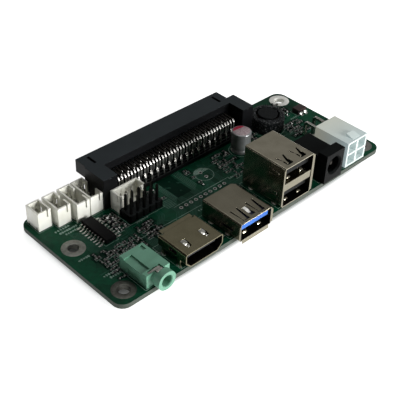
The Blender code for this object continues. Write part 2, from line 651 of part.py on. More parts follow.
FINISH = {}
clear_scene()
PARTS = make_collection("single_board_computer")
CUTTERS = make_collection("cutters")
DATUM = bpy.data.objects.new("board_datum", None)
DATUM.location = (-BOARD_LENGTH / 2 * MM, -(BOARD_WIDTH + BACK_OVERHANG - FRONT_OVERHANG) / 2 * MM,
                  -TAIL_END * MM)
PARTS.objects.link(DATUM)
build()
bpy.context.view_layer.update()
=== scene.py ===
"""Looks of the single board computer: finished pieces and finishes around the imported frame.

Shapes are drawn in millimetres in a component's own place on the board, and moved to the
row frame, in metres, when a piece is finished.
"""

import math
import random

import bmesh
import bpy
from mathutils import Matrix, Vector


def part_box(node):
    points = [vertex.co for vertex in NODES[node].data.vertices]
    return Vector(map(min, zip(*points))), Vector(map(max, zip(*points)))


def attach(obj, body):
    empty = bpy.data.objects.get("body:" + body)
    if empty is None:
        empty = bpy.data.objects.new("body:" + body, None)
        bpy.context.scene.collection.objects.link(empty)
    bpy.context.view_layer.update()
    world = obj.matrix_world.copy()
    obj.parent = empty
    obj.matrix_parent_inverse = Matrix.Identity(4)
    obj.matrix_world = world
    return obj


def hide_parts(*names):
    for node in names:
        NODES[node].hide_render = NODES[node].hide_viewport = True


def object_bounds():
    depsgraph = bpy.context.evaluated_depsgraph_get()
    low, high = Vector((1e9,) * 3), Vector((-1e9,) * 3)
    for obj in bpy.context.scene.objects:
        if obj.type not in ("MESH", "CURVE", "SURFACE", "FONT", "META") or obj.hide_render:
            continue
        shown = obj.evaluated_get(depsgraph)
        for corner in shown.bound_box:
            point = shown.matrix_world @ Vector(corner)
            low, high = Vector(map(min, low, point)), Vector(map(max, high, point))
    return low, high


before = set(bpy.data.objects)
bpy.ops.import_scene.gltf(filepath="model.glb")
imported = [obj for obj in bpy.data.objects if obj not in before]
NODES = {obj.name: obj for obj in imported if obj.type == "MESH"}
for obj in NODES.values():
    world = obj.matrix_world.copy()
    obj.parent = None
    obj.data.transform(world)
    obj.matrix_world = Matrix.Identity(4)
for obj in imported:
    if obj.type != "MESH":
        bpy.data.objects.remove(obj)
cad_low, cad_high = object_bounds()

MM = 0.001
board_low, board_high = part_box("circuit_board")
DATUM = Vector((board_low.x, board_low.y, board_high.z))     # front left corner of the top face
TO_FRAME = Matrix.Translation(DATUM) @ Matrix.Scale(MM, 4)
TO_BENCH = TO_FRAME.inverted()
LENGTH, WIDTH, THICKNESS = (board_high - board_low) / MM
FLOOR_LEVEL = (TO_BENCH @ cad_low).z                         # the lowest level of the object
TAIL_END = -3.0
BOTH = (-1, 1)                                               # the left and right sides


# --- finishes ---
def srgb(red, green, blue):
    """A colour given as 0-255 display values, in the linear values that shaders use."""
    shares = (value / 255 for value in (red, green, blue))
    linear = [s / 12.92 if s <= 0.04045 else ((s + 0.055) / 1.055) ** 2.4 for s in shares]
    return (*linear, 1.0)


class Field:
    """A value that varies over a surface; arithmetic on it adds the Math nodes."""

    def __init__(self, finish, socket):
        self.finish = finish
        self.socket = socket

    def _math(self, operation, first, second):
        return self.finish.node("ShaderNodeMath", {"operation": operation}, {0: first, 1: second})

    def __add__(self, other):
        return self._math("ADD", self, other)

    def __sub__(self, other):
        return self._math("SUBTRACT", self, other)

    def __mul__(self, other):
        return self._math("MULTIPLY", self, other)

    def above(self, edge):
        return self._math("GREATER_THAN", self, edge)


class Finish:
    """A material with one Principled shader, painted by fields on Object coordinates."""

    def __init__(self, name, **constants):
        self.material = bpy.data.materials.new(name)
        self.material.use_nodes = True
        self.tree = self.material.node_tree
        self.shader = self.tree.nodes["Principled BSDF"]
        self.place = self.node("ShaderNodeTexCoord", output="Object")
        for key, value in constants.items():
            self.set(key.replace("_", " ").title().replace("Ior", "IOR"), value)

    def feed(self, socket, value):
        if isinstance(value, Field):
            self.tree.links.new(value.socket, socket)
        else:
            socket.default_value = value

    def node(self, kind, settings=None, values=None, output=0):
        made = self.tree.nodes.new(kind)
        for key, value in (settings or {}).items():
            if key == "stops":
                self.ramp_stops(made.color_ramp, value)
            else:
                setattr(made, key, value)
        for key, value in (values or {}).items():
            self.feed(made.inputs[key], value)
        return Field(self, made.outputs[output])

    @staticmethod
    def ramp_stops(ramp, stops):
        for place, _ in stops[1:-1]:
            ramp.elements.new(place)
        for element, (place, colour) in zip(ramp.elements, stops):
            element.position = place
            element.color = colour

    def set(self, socket, value):
        self.feed(self.shader.inputs[socket], value)

    def stretched(self, x, y, z):
        return self.node("ShaderNodeVectorMath", {"operation": "MULTIPLY"}, {0: self.place, 1: (x, y, z)})

    def noise(self, grain, detail=2.0, stretch=(1, 1, 1)):
        """Noise whose features are about grain millimetres across."""
        return self.node("ShaderNodeTexNoise", None, {
            "Vector": self.stretched(*stretch), "Scale": 1 / (grain * MM), "Detail": detail})

    def cells(self, grain, output="Distance"):
        return self.node("ShaderNodeTexVoronoi", None, {
            "Vector": self.place, "Scale": 1 / (grain * MM)}, output)

    def axis(self, letter):
        return self.node("ShaderNodeSeparateXYZ", None, {0: self.place}, letter)

    def ramp(self, field, *stops):
        grey = [(place, (value, value, value, 1.0)) for place, value in stops]
        return self.node("ShaderNodeValToRGB", {"stops": grey}, {0: field})

    def mix(self, factor, first, second):
        return self.node("ShaderNodeMix", {"data_type": "RGBA"}, {0: factor, 6: first, 7: second}, 2)

    def bump(self, height, depth, strength=1.0):
        """Relief of depth millimetres from a height field between 0 and 1."""
        self.set("Normal", self.node("ShaderNodeBump", None, {
            "Strength": strength, "Distance": depth * MM, "Height": height}))


def moulded_plastic(name, light, dark, roughness=0.42, grain=0.25, depth=0.012):
    """Injection-moulded plastic: a fine spark-eroded texture and faint flow marks."""
    finish = Finish(name)
    flow = finish.noise(6.0, 3.0, (1.0, 2.2, 1.0))
    texture = finish.noise(grain, 3.0)
    finish.set("Base Color", finish.mix(finish.ramp(flow, (0.3, 0.0), (0.7, 1.0)), dark, light))
    finish.set("Roughness", texture * 0.18 + flow * 0.1 + (roughness - 0.14))
    finish.bump(texture, depth)
    return finish.material


def nylon_with_painted_glow():
    """Unfilled nylon that glows: a painted glow stands in for light passed through its walls, cooler at the
    thin front.
    """
    finish = Finish("clear_nylon", ior=1.45, transmission_weight=0.1, emission_strength=0.24)
    flow = finish.noise(6.0, 3.0, (1.0, 2.2, 1.0))
    finish.set("Base Color", finish.mix(flow, srgb(196, 204, 200), srgb(186, 192, 186)))
    # The emission is a painted glow, cooler towards the front.
    back = finish.ramp((finish.axis("Y") + 0.022) * (1 / 0.012), (0.0, 0.0), (1.0, 1.0))
    finish.set("Emission Color", finish.mix(back, srgb(204, 228, 236), srgb(226, 224, 206)))
    finish.set("Roughness", flow * 0.12 + 0.26)
    finish.bump(finish.noise(0.5, 3.0), 0.002)
    return finish.material


def black_with_painted_top_sheen(name, side, top, roughness=0.45, specular=0.12):
    """Black nylon: upward faces carry a painted sheen in patches, so they look greyer than the sides."""
    finish = Finish(name, specular_ior_level=specular)
    texture = finish.noise(0.25, 3.0)
    upward = finish.node("ShaderNodeAttribute", {"attribute_name": "upward"}, output="Fac")
    sheen_patches = finish.ramp(finish.noise(5.0, 3.0), (0.2, 0.75), (0.8, 1.0))
    # Painted sheen: upward faces take the lighter top colour, a painted reflection.
    top_sheen = finish.ramp(upward, (0.4, 0.0), (0.95, 1.0)) * sheen_patches
    finish.set("Base Color", finish.mix(top_sheen, side, top))
    finish.set("Roughness", texture * 0.2 + (roughness - 0.1))
    finish.bump(texture, 0.01)
    return finish.material


def sheet_metal(name, light, dark, roughness=0.3, brush=(1.0, 0.06, 1.0), grime=0.08, metallic=1.0):
    """Plated or tinned sheet: rolling marks one way, with cloudy handling marks."""
    finish = Finish(name, metallic=metallic)
    rolled = finish.noise(0.3, 3.0, brush)
    clouds = finish.noise(4.0, 3.0)
    finish.set("Base Color", finish.mix(finish.ramp(clouds, (0.3, 0.0), (0.72, 1.0)), dark, light))
    finish.set("Roughness", rolled * 0.08 + clouds * grime + (roughness - 0.08))
    finish.bump(rolled, 0.002)
    return finish.material


def solder_mask():
    """Green mask: copper areas show through a little brighter, over a fine glass weave."""
    finish = Finish("solder_mask_green", specular_ior_level=0.12)
    pour = finish.ramp(finish.cells(7.0, "Color"), (0.38, 0.0), (0.46, 1.0))
    mottle = finish.noise(1.4, 4.0)
    deep = finish.mix(mottle, srgb(0, 34, 21), srgb(0, 64, 42))
    over_copper = finish.mix(mottle, srgb(0, 48, 31), srgb(0, 86, 56))
    finish.set("Base Color", finish.mix(pour * 0.55, deep, over_copper))
    weave = finish.noise(0.35, 2.0)
    finish.set("Roughness", weave * 0.14 + mottle * 0.12 + 0.26)
    finish.bump(weave * 0.4 + pour * 0.5, 0.02, 0.6)
    return finish.material


def laminate_edge():
    """Sawn glass-fibre laminate: pale, with thin layers through its thickness."""
    finish = Finish("laminate_edge", specular_ior_level=0.3)
    layers = finish.noise(0.2, 2.0, (0.12, 0.12, 1.0))
    sawn = finish.noise(0.4, 3.0)
    pale = finish.mix(layers, srgb(36, 42, 37), srgb(86, 93, 84))
    finish.set("Base Color", finish.mix(sawn * 0.5, pale, srgb(60, 68, 60)))
    finish.set("Roughness", sawn * 0.3 + 0.5)
    finish.bump(layers * 0.6 + sawn * 0.4, 0.03)
    return finish.material


def grainy(name, dark, light, grain, base, relief=0.0, edges=None, detail=3.0, stretch=(1, 1, 1),
           **constants):
    """A plain surface whose colour, roughness and relief all follow one grain."""
    finish = Finish(name, **constants)
    pattern = finish.noise(grain, detail, stretch)
    finish.set("Base Color", finish.mix(finish.ramp(pattern, *edges) if edges else pattern, dark, light))
    finish.set("Roughness", pattern * 0.2 + base)
    if relief:
        finish.bump(pattern, relief)
    return finish.material


def solder(name, light, dark):
    """Reflowed solder: bright, with a faint crystalline crust and flux haze."""
    finish = Finish(name, metallic=1.0)
    crystals = finish.cells(0.12)
    haze = finish.noise(0.5, 3.0)
    finish.set("Base Color", finish.mix(haze, dark, light))
    finish.set("Roughness", crystals * 0.18 + haze * 0.2 + 0.14)
    finish.bump(crystals, 0.01)
    return finish.material


def plated_land(name, light, dark, metallic=1.0):
    """Tinned copper round a mounting hole, scratched and worn by screw heads; each land is given its own
    brightness.
    """
    finish = Finish(name, metallic=metallic)
    worn = finish.noise(0.7, 4.0)
    scratch = finish.noise(0.16, 2.0, (1.0, 0.3, 1.0))
    finish.set("Base Color", finish.mix(worn, dark, light))
    finish.set("Roughness", worn * 0.25 + scratch * 0.15 + 0.2)
    finish.bump(scratch * 0.5 + worn * 0.5, 0.015)
    return finish.material


def fired_ceramic(name, light, dark):
    """A chip part's body: fine-grained ceramic, a little glossy."""
    finish = Finish(name)
    grain = finish.noise(0.2, 3.0)
    batch = finish.noise(9.0, 0.0)
    finish.set("Base Color", finish.mix(batch, dark, light))
    finish.set("Roughness", grain * 0.25 + 0.3)
    finish.bump(grain, 0.008)
    return finish.material


def ferrite(name, chipping):
    """Pressed ferrite: dark grey, granular, with small bright chips."""
    finish = Finish(name, specular_ior_level=0.16)
    grain = finish.noise(0.25, 4.0)
    chips = finish.ramp(finish.noise(0.45, 4.0), (0.56, 0.0), (0.64, 1.0))
    dark = finish.mix(grain, srgb(5, 8, 9), srgb(18, 22, 24))
    finish.set("Base Color", finish.mix(chips * chipping, dark, srgb(112, 114, 116)))
    finish.set("Roughness", grain * 0.3 + 0.42)
    finish.bump(grain, 0.05)
    return finish.material


def capacitor_print(x, y):
    """The can's printed top: pale lacquer, with one crimson segment on the negative side."""
    finish = Finish("capacitor_print")
    print_edge = 1.4 * MM
    diagonal = (finish.axis("Y") - y * MM) * 0.99 + (finish.axis("X") - x * MM) * 0.1
    segment = diagonal.above(print_edge)
    speckle = finish.noise(0.35, 4.0)
    worn = finish.ramp(speckle, (0.4, 0.0), (0.62, 1.0))
    lacquer = finish.mix(worn, srgb(176, 162, 164), srgb(132, 108, 112))
    finish.set("Base Color", finish.mix(segment, lacquer, srgb(172, 20, 62)))
    finish.set("Roughness", speckle * 0.2 + 0.35)
    finish.bump(speckle, 0.01)
    return finish.material


MASK = solder_mask()
# Dark mask for the empty chip field, and painted shade under and between chip parts.
DARK_MASK_AND_PAINTED_SHADE = grainy("dark_field_mask_and_painted_shade", srgb(0, 28, 18), srgb(0, 44, 30), 0.9, 0.3, specular_ior_level=0.05)
EDGE = laminate_edge()
TRACK = grainy("masked_copper", srgb(5, 54, 40), srgb(20, 92, 68), 0.8, 0.25, 0.01, specular_ior_level=0.3)
FINE_TRACK = grainy("fine_tracks", srgb(52, 92, 76), srgb(96, 138, 120), 0.8, 0.25, 0.01,
                    specular_ior_level=0.3)
INK = grainy("white_ink", srgb(88, 122, 106), srgb(160, 188, 174), 0.3, 0.5, edges=((0.35, 0.0), (0.6, 1.0)))
SOLDER = solder("solder", srgb(214, 214, 208), srgb(150, 150, 146))
PART_ENDS = solder("part_end_solder", srgb(214, 214, 210), srgb(66, 66, 64))
LANDS = {
    "1": plated_land("land_front_left", srgb(104, 104, 98), srgb(52, 52, 48)),
    "2": plated_land("land_back_left", srgb(152, 153, 146), srgb(82, 83, 78)),
    # The back right land is near white and hardly metallic: a painted highlight.
    "3": plated_land("land_back_right_painted_highlight", srgb(252, 252, 246), srgb(226, 226, 218), 0.1),
    "4": plated_land("land_front_right", srgb(176, 176, 170), srgb(116, 116, 110)),
}
# Black plastics: the side colour, then the lighter top colour, a painted sheen on upward faces.
BLACK = black_with_painted_top_sheen("black_plastic", srgb(9, 10, 12), srgb(46, 52, 55))
SOCKET_BLACK = black_with_painted_top_sheen("socket_black", srgb(9, 10, 10), srgb(24, 28, 28), 0.4)
JACK_BLACK = black_with_painted_top_sheen("jack_black", srgb(5, 6, 6), srgb(15, 18, 18), 0.4, 0.05)
TOP_SHEEN_BLACKS = (BLACK, SOCKET_BLACK, JACK_BLACK)
TONGUE = moulded_plastic("tongue_black", srgb(52, 52, 54), srgb(38, 38, 40), 0.4)
CHIP = grainy("chip_compound", srgb(6, 6, 7), srgb(14, 14, 15), 0.12, 0.45, 0.01, specular_ior_level=0.08)
# A darker copy of the blue plastic: painted shade.
SHADED_BLUE = moulded_plastic("blue_plastic_in_shade", srgb(6, 22, 52), srgb(3, 12, 30), 0.5)
NYLON = moulded_plastic("white_nylon", srgb(246, 246, 238), srgb(232, 231, 218), 0.42, 0.4, 0.01)
GLOWING_NYLON = nylon_with_painted_glow()
MINT = moulded_plastic("mint_plastic", srgb(106, 158, 134), srgb(94, 144, 120), 0.42)
BLUE = moulded_plastic("blue_plastic", srgb(12, 98, 190), srgb(8, 84, 172), 0.36)
STEEL = sheet_metal("nickel_steel", srgb(176, 170, 152), srgb(162, 156, 138), 0.24, grime=0.05)
SHADED_STEEL = sheet_metal("shaded_nickel", srgb(146, 141, 124), srgb(134, 129, 112), 0.24, grime=0.05)
OLIVE_STEEL = sheet_metal("olive_nickel", srgb(138, 132, 108), srgb(126, 120, 96), 0.24, grime=0.05)
# Dark steel for faces that lie in shade: painted shade.
SHADE_PAINTED_STEEL = sheet_metal("shaded_steel", srgb(58, 55, 50), srgb(40, 38, 34), 0.4)
# Near-white, hardly metallic tin: a painted highlight.
HIGHLIGHT_PAINTED_TIN = sheet_metal("tin_painted_highlight", srgb(252, 252, 248), srgb(240, 240, 234), 0.3, metallic=0.1)
DARK_PIN = sheet_metal("dark_pin", srgb(34, 34, 33), srgb(20, 20, 19), 0.4)
TIN = sheet_metal("tinned_lead", srgb(214, 213, 206), srgb(158, 157, 150), 0.26, (1.0, 1.0, 0.2))
DULL_TIN = sheet_metal("dull_tin", srgb(206, 204, 200), srgb(168, 166, 162), 0.36, (1.0, 1.0, 0.2))
CONTACT = sheet_metal("gilt_contact", srgb(150, 128, 84), srgb(112, 92, 56), 0.28, (1.0, 0.1, 1.0))
ALUMINIUM = sheet_metal("drawn_aluminium", srgb(186, 188, 188), srgb(144, 146, 146), 0.3, (1.0, 1.0, 0.08),
                        metallic=0.6)
FERRITE = ferrite("ferrite", 0.1)
SHIELD = ferrite("ferrite_shield", 0.6)
WIRE = grainy("enamelled_wire", srgb(22, 11, 7), srgb(48, 25, 16), 0.3, 0.25, 0.05, detail=1.0,
              stretch=(0.2, 0.2, 2.0), metallic=1.0)
RUBBER = moulded_plastic("rubber", srgb(34, 34, 34), srgb(22, 22, 22), 0.7)
RESISTOR = fired_ceramic("resistor_glaze", srgb(24, 24, 27), srgb(14, 14, 16))
CHIP_CERAMIC = fired_ceramic("capacitor_ceramic", srgb(50, 44, 38), srgb(28, 25, 22))
DIODE = moulded_plastic("diode_compound", srgb(50, 32, 31), srgb(34, 21, 21), 0.4)


# --- shapes: each returns a function that adds itself to a bmesh, in millimetres ---
def box(x, y, z):
    def add(bm):
        size = [b - a for a, b in (x, y, z)]
        centre = [(a + b) / 2 for a, b in (x, y, z)]
        bmesh.ops.create_cube(bm, size=1.0, matrix=Matrix.LocRotScale(Vector(centre), None, Vector(size)))
    return add


AXIS_TURN = {
    "X": Matrix.Rotation(math.radians(90), 4, "Y"),
    "Y": Matrix.Rotation(math.radians(-90), 4, "X"),
    "Z": Matrix.Identity(4),
}


def rod(axis, centre, radius, span, far_radius=None, sides=64):
    """A cylinder or cone along an axis; centre gives its other two coordinates in order."""
    def add(bm):
        middle = list(centre)
        middle.insert("XYZ".index(axis), sum(span) / 2)
        place = Matrix.Translation(Vector(middle)) @ AXIS_TURN[axis]
        bmesh.ops.create_cone(bm, cap_ends=True, segments=sides, radius1=radius, matrix=place,
                              radius2=radius if far_radius is None else far_radius, depth=span[1] - span[0])
    return add


def prism(axis, outline, span):
    """A flat outline in the other two coordinates, pulled along an axis."""
    def add(bm):
        index = "XYZ".index(axis)
        corners = []
        for point in outline:
            corner = list(point)
            corner.insert(index, span[0])
            corners.append(bm.verts.new(corner))
        face = bm.faces.new(corners)
        pulled = bmesh.ops.extrude_face_region(bm, geom=[face])["geom"]
        shift = Vector((0, 0, 0))
        shift[index] = span[1] - span[0]
        moved = [item for item in pulled if isinstance(item, bmesh.types.BMVert)]
        bmesh.ops.translate(bm, verts=moved, vec=shift)
        bmesh.ops.recalc_face_normals(bm, faces=[f for f in bm.faces if set(f.verts) & set(corners + moved)])
    return add


def turned(profile, sides=72):
    """A closed profile of (radius, height) pairs, spun about the Z axis."""
    def add(bm):
        rings = []
        for k in range(sides):
            angle = 2 * math.pi * k / sides
            rings.append([bm.verts.new((radius * math.cos(angle), radius * math.sin(angle), height))
                          for radius, height in profile])
        faces = []
        for k, ring in enumerate(rings):
            following = rings[(k + 1) % sides]
            for a in range(len(profile)):
                b = (a + 1) % len(profile)
                faces.append(bm.faces.new((ring[a], ring[b], following[b], following[a])))
        verts = [v for ring in rings for v in ring]
        bmesh.ops.remove_doubles(bm, verts=verts, dist=1e-4)
        bmesh.ops.recalc_face_normals(bm, faces=[f for f in faces if f.is_valid])
    return add


def rounded(corners, radius, steps=5):
    """An outline with each corner turned into an arc; radius may be one number per corner."""
    points = [Vector(p) for p in corners]
    radii = radius if isinstance(radius, (list, tuple)) else [radius] * len(points)
    outline = []
    for k, (point, r) in enumerate(zip(points, radii)):
        before = (points[k - 1] - point).normalized()
        after = (points[(k + 1) % len(points)] - point).normalized()
        half = before.angle(after) / 2
        if r <= 0 or abs(half - math.pi / 2) < 0.01:
            outline.append(tuple(point))
            continue
        centre = point + (before + after).normalized() * (r / math.sin(half))
        start = point + before * (r / math.tan(half)) - centre
        turn = start.angle_signed(point + after * (r / math.tan(half)) - centre)
        for step in range(steps + 1):
            angle = -turn * step / steps
            c, s = math.cos(angle), math.sin(angle)
            outline.append((centre.x + start.x * c - start.y * s, centre.y + start.x * s + start.y * c))
    return outline


def inset(outline, wall):
    """An anticlockwise outline moved inwards by a wall."""
    points = [Vector(p) for p in outline]
    moved = []
    for k, point in enumerate(points):
        before = (point - points[k - 1]).normalized()
        after = (points[(k + 1) % len(points)] - point).normalized()
        normal = (Vector((-before.y, before.x)) + Vector((-after.y, after.x))).normalized()
        moved.append(tuple(point + normal * wall / max(0.5, normal.dot(Vector((-after.y, after.x))))))
    return moved


def bent_path(path, bend, steps=4):
    """An open path whose corners are bends of a given radius."""
    points = [Vector(p) for p in path]
    result = [tuple(points[0])]
    for before, point, after in zip(points, points[1:], points[2:]):
        back, ahead = before - point, after - point
        half = back.angle(ahead) / 2
        reach = min(bend / math.tan(half), back.length * 0.49, ahead.length * 0.49)
        start, end = point + back.normalized() * reach, point + ahead.normalized() * reach
        for step in range(steps + 1):
            t = step / steps
            result.append(tuple(start * (1 - t) ** 2 + point * (2 * t * (1 - t)) + end * t ** 2))
    return result + [tuple(points[-1])]


def strip(axis, path, thickness, span, bend=0.3):
    """Bent strip metal: a path with a thickness, pulled across its width."""
    points = [Vector(p) for p in bent_path(path, bend)]
    sides = ([], [])
    for k, point in enumerate(points):
        before = (point - points[k - 1]).normalized() if k else None
        after = (points[k + 1] - point).normalized() if k + 1 < len(points) else None
        along = ((before or after) + (after or before)).normalized()
        normal = Vector((-along.y, along.x))
        sides[0].append(tuple(point + normal * (thickness / 2)))
        sides[1].append(tuple(point - normal * (thickness / 2)))
    return prism(axis, sides[0] + sides[1][::-1], span)


# --- pieces ---
BEVELLED_ANGLE = math.radians(35)     # edges sharper than this are rounded
SHARP_ANGLE = math.radians(40)        # edges sharper than this stay sharp in the shading


def bench_mesh(shapes, name="blank"):
    bm = bmesh.new()
    for shape in shapes:
        shape(bm)
    mesh = bpy.data.meshes.new(name)
    bm.to_mesh(mesh)
    bm.free()
    return mesh


def bench_object(mesh):
    obj = bpy.data.objects.new("bench", mesh)
    bpy.context.scene.collection.objects.link(obj)
    return obj


def evaluated_mesh(obj):
    bpy.context.view_layer.update()
    mesh = bpy.data.meshes.new_from_object(obj.evaluated_get(bpy.context.evaluated_depsgraph_get()))
    bpy.data.objects.remove(obj)
    return mesh


def cad_mesh(node, place=Matrix()):
    """A copy of a CAD node's mesh on the bench, with its flat faces whole again."""
    bm = bmesh.new()
    bm.from_mesh(NODES[node].data)
    bm.transform(place.inverted() @ TO_BENCH)
    bmesh.ops.remove_doubles(bm, verts=bm.verts, dist=1e-3)
    bmesh.ops.dissolve_limit(bm, angle_limit=math.radians(1), verts=bm.verts, edges=bm.edges)
    mesh = bpy.data.meshes.new(node)
    bm.to_mesh(mesh)
    bm.free()
    return mesh


def worked(mesh, join=(), cut=(), bevel=0.0, segments=2, shape=None):
    """Joins and cuts shapes, bends the result and rounds its edges."""
    obj = bench_object(mesh)
    tools = []
    for operation, groups in (("UNION", join), ("DIFFERENCE", cut)):
        for group in groups:
            tool = bench_object(bench_mesh(group if isinstance(group, list) else [group]))
            modifier = obj.modifiers.new(operation.title(), "BOOLEAN")
            modifier.operation = operation
            modifier.solver = "EXACT"
            modifier.object = tool
            tools.append(tool)
    if tools:
        mesh = evaluated_mesh(obj)
        for tool in tools:
            bpy.data.objects.remove(tool)
        obj = bench_object(mesh)
    if shape:
        for vertex in obj.data.vertices:
            vertex.co = shape(vertex.co)
    if bevel:
        modifier = obj.modifiers.new("Edges", "BEVEL")
        modifier.width = bevel
        modifier.segments = segments
        modifier.limit_method = "ANGLE"
        modifier.angle_limit = BEVELLED_ANGLE
        modifier.use_clamp_overlap = True
    return evaluated_mesh(obj)


def finish_piece(name, mesh, finish, place=Matrix(), replaced=(), body="board"):
    """Moves a bench mesh into the frame as a named piece that rides on a body."""
    mesh.transform(TO_FRAME @ place)
    mesh.materials.clear()
    mesh.materials.append(finish)
    mesh.shade_smooth()
    mesh.set_sharp_from_angle(angle=SHARP_ANGLE)
    bench = bench_object(mesh)
    modifier = bench.modifiers.new("Flat faces", "WEIGHTED_NORMAL")
    modifier.keep_sharp = True
    mesh = evaluated_mesh(bench)
    if finish in TOP_SHEEN_BLACKS:
        # How much each face looks up, for the painted top sheen of the black finishes.
        upward = mesh.attributes.new("upward", "FLOAT", "FACE")
        for face, value in zip(mesh.polygons, upward.data):
            value.value = max(face.normal.z, 0.0)
    obj = bpy.data.objects.new(name, mesh)
    bpy.context.scene.collection.objects.link(obj)
    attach(obj, body)
    if replaced:
        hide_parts(*replaced)
    return obj


def remade(node, finish, bevel=0.08, place=Matrix(), join=(), cut=(), body="board"):
    """A CAD node's own shape with rounded edges and more detail."""
    mesh = worked(cad_mesh(node, place), join, cut, bevel)
    return finish_piece(f"finished_{node}", mesh, finish, place, (node,), body)


def rebuilt(node, shapes, finish, bevel=0.08, place=Matrix(), join=(), cut=(), shape=None):
    """A piece drawn again with finer curves, in a CAD node's place."""
    mesh = worked(bench_mesh(shapes), join, cut, bevel, shape=shape)
    return finish_piece(f"finished_{node}", mesh, finish, place, (node,))


def at(x, y, turn=0.0):
    """A component's own place on the board."""
    return Matrix.Translation((x, y, 0)) @ Matrix.Rotation(math.radians(turn), 4, "Z")


def over(node):
    """The place of a component centred on a CAD node."""
    centre = middle(node)
    return at(centre.x, centre.y)


def extent(node):
    """A CAD node's lowest and highest corner in board millimetres."""
    low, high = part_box(node)
    return TO_BENCH @ low, TO_BENCH @ high


def middle(node):
    low, high = extent(node)
    return (low + high) / 2


# --- geometry node trees ---
class Tree:
    """A Geometry Nodes tree with named inputs, and one method that adds a node."""

    def __init__(self, name, inputs):
        self.group = bpy.data.node_groups.new(name, "GeometryNodeTree")
        interface = self.group.interface
        interface.new_socket("Geometry", in_out="INPUT", socket_type="NodeSocketGeometry")
        for label, kind in inputs:
            interface.new_socket(label, in_out="INPUT", socket_type=f"NodeSocket{kind}")
        interface.new_socket("Geometry", in_out="OUTPUT", socket_type="NodeSocketGeometry")
        self.inputs = self.group.nodes.new("NodeGroupInput").outputs

    def node(self, kind, values=None, settings=None, output=0):
        made = self.group.nodes.new(kind)
        for key, value in (settings or {}).items():
            setattr(made, key, value)
        for key, value in (values or {}).items():
            if isinstance(value, bpy.types.NodeSocket):
                self.group.links.new(value, made.inputs[key])
            else:
                made.inputs[key].default_value = value
        return made.outputs[output]

    def finish(self, geometry):
        """Every tree ends the same way: real geometry with its material set."""
        real = self.node("GeometryNodeRealizeInstances", {"Geometry": geometry})
        painted = self.node("GeometryNodeSetMaterial", {"Geometry": real, "Material": self.inputs["Finish"]})
        self.group.links.new(painted, self.group.nodes.new("NodeGroupOutput").inputs[0])
        return self.group


def stamp_tree():
    """Puts a small shape on every point, turned and sized by the point's own values."""
    tree = Tree("stamps_on_points", (("Stamp", "Object"), ("Finish", "Material")))
    stamp = tree.node("GeometryNodeObjectInfo", {"Object": tree.inputs["Stamp"]}, output="Geometry")
    turn = tree.node("GeometryNodeInputNamedAttribute", {"Name": "turn"}, {"data_type": "FLOAT_VECTOR"})
    size = tree.node("GeometryNodeInputNamedAttribute", {"Name": "size"}, {"data_type": "FLOAT_VECTOR"})
    placed = tree.node("GeometryNodeInstanceOnPoints", {
        "Points": tree.inputs["Geometry"], "Instance": stamp, "Rotation": turn, "Scale": size})
    return tree.finish(placed)


def row_tree():
    """Repeats one contact along X, centred, at a pitch."""
    tree = Tree("row_of_contacts", (("Count", "Int"), ("Pitch", "Float"), ("Finish", "Material")))
    count, pitch = tree.inputs["Count"], tree.inputs["Pitch"]
    steps = tree.node("ShaderNodeMath", {0: count, 1: 1.0}, {"operation": "SUBTRACT"})
    reach = tree.node("ShaderNodeMath", {0: steps, 1: pitch}, {"operation": "MULTIPLY"})
    start = tree.node("ShaderNodeMath", {0: reach, 1: -0.5}, {"operation": "MULTIPLY"})
    first = tree.node("ShaderNodeCombineXYZ", {"X": start})
    offset = tree.node("ShaderNodeCombineXYZ", {"X": pitch})
    line = tree.node("GeometryNodeMeshLine", {"Count": count, "Start Location": first, "Offset": offset})
    placed = tree.node("GeometryNodeInstanceOnPoints", {"Points": line, "Instance": tree.inputs["Geometry"]})
    return tree.finish(placed)


def ribbon_tree():
    """Lays a flat ribbon along every edge path, as a track or a printed line."""
    tree = Tree("ribbons_on_paths", (("Width", "Float"), ("Height", "Float"), ("Finish", "Material")))
    curve = tree.node("GeometryNodeMeshToCurve", {"Mesh": tree.inputs["Geometry"]})
    upright = tree.node("GeometryNodeSetCurveNormal", {"Curve": curve}, {"mode": "Z_UP"})
    section = tree.node("GeometryNodeCurvePrimitiveQuadrilateral", {
        "Width": tree.inputs["Width"], "Height": tree.inputs["Height"]})
    ribbon = tree.node("GeometryNodeCurveToMesh", {
        "Curve": upright, "Profile Curve": section, "Fill Caps": True})
    return tree.finish(ribbon)


STAMPS = stamp_tree()
ROWS = row_tree()
RIBBONS = ribbon_tree()


def grown(mesh, tree, **inputs):
    """The real mesh that a tree makes from a mesh, with its inputs set by identifier."""
    obj = bench_object(mesh)
    modifier = obj.modifiers.new(tree.name, "NODES")
    modifier.node_group = tree
    for item in tree.interface.items_tree:
        if item.in_out == "INPUT" and item.name in inputs:
            modifier[item.identifier] = inputs[item.name]
    return evaluated_mesh(obj)


def stamped(name, stamp, points, finish, replaced=()):
    """Copies of one shape: points are (x, y, z, turn in degrees, size or three sizes)."""
    mesh = bpy.data.meshes.new(name)
    mesh.from_pydata([p[:3] for p in points], [], [])
    turns = mesh.attributes.new("turn", "FLOAT_VECTOR", "POINT")
    sizes = mesh.attributes.new("size", "FLOAT_VECTOR", "POINT")
    for k, point in enumerate(points):
        turns.data[k].vector = (0, 0, math.radians(point[3]))
        sizes.data[k].vector = point[4] if isinstance(point[4], tuple) else (point[4],) * 3
    source = bench_object(stamp)
    result = grown(mesh, STAMPS, Stamp=source, Finish=finish)
    bpy.data.objects.remove(source)
    return finish_piece(name, result, finish, replaced=replaced)


def repeated(shapes, count, pitch, finish, bevel=0.03):
    """The mesh of one contact, repeated in a row."""
    contact = worked(bench_mesh(shapes), bevel=bevel, segments=1)
    return grown(contact, ROWS, Count=count, Pitch=pitch, Finish=finish)


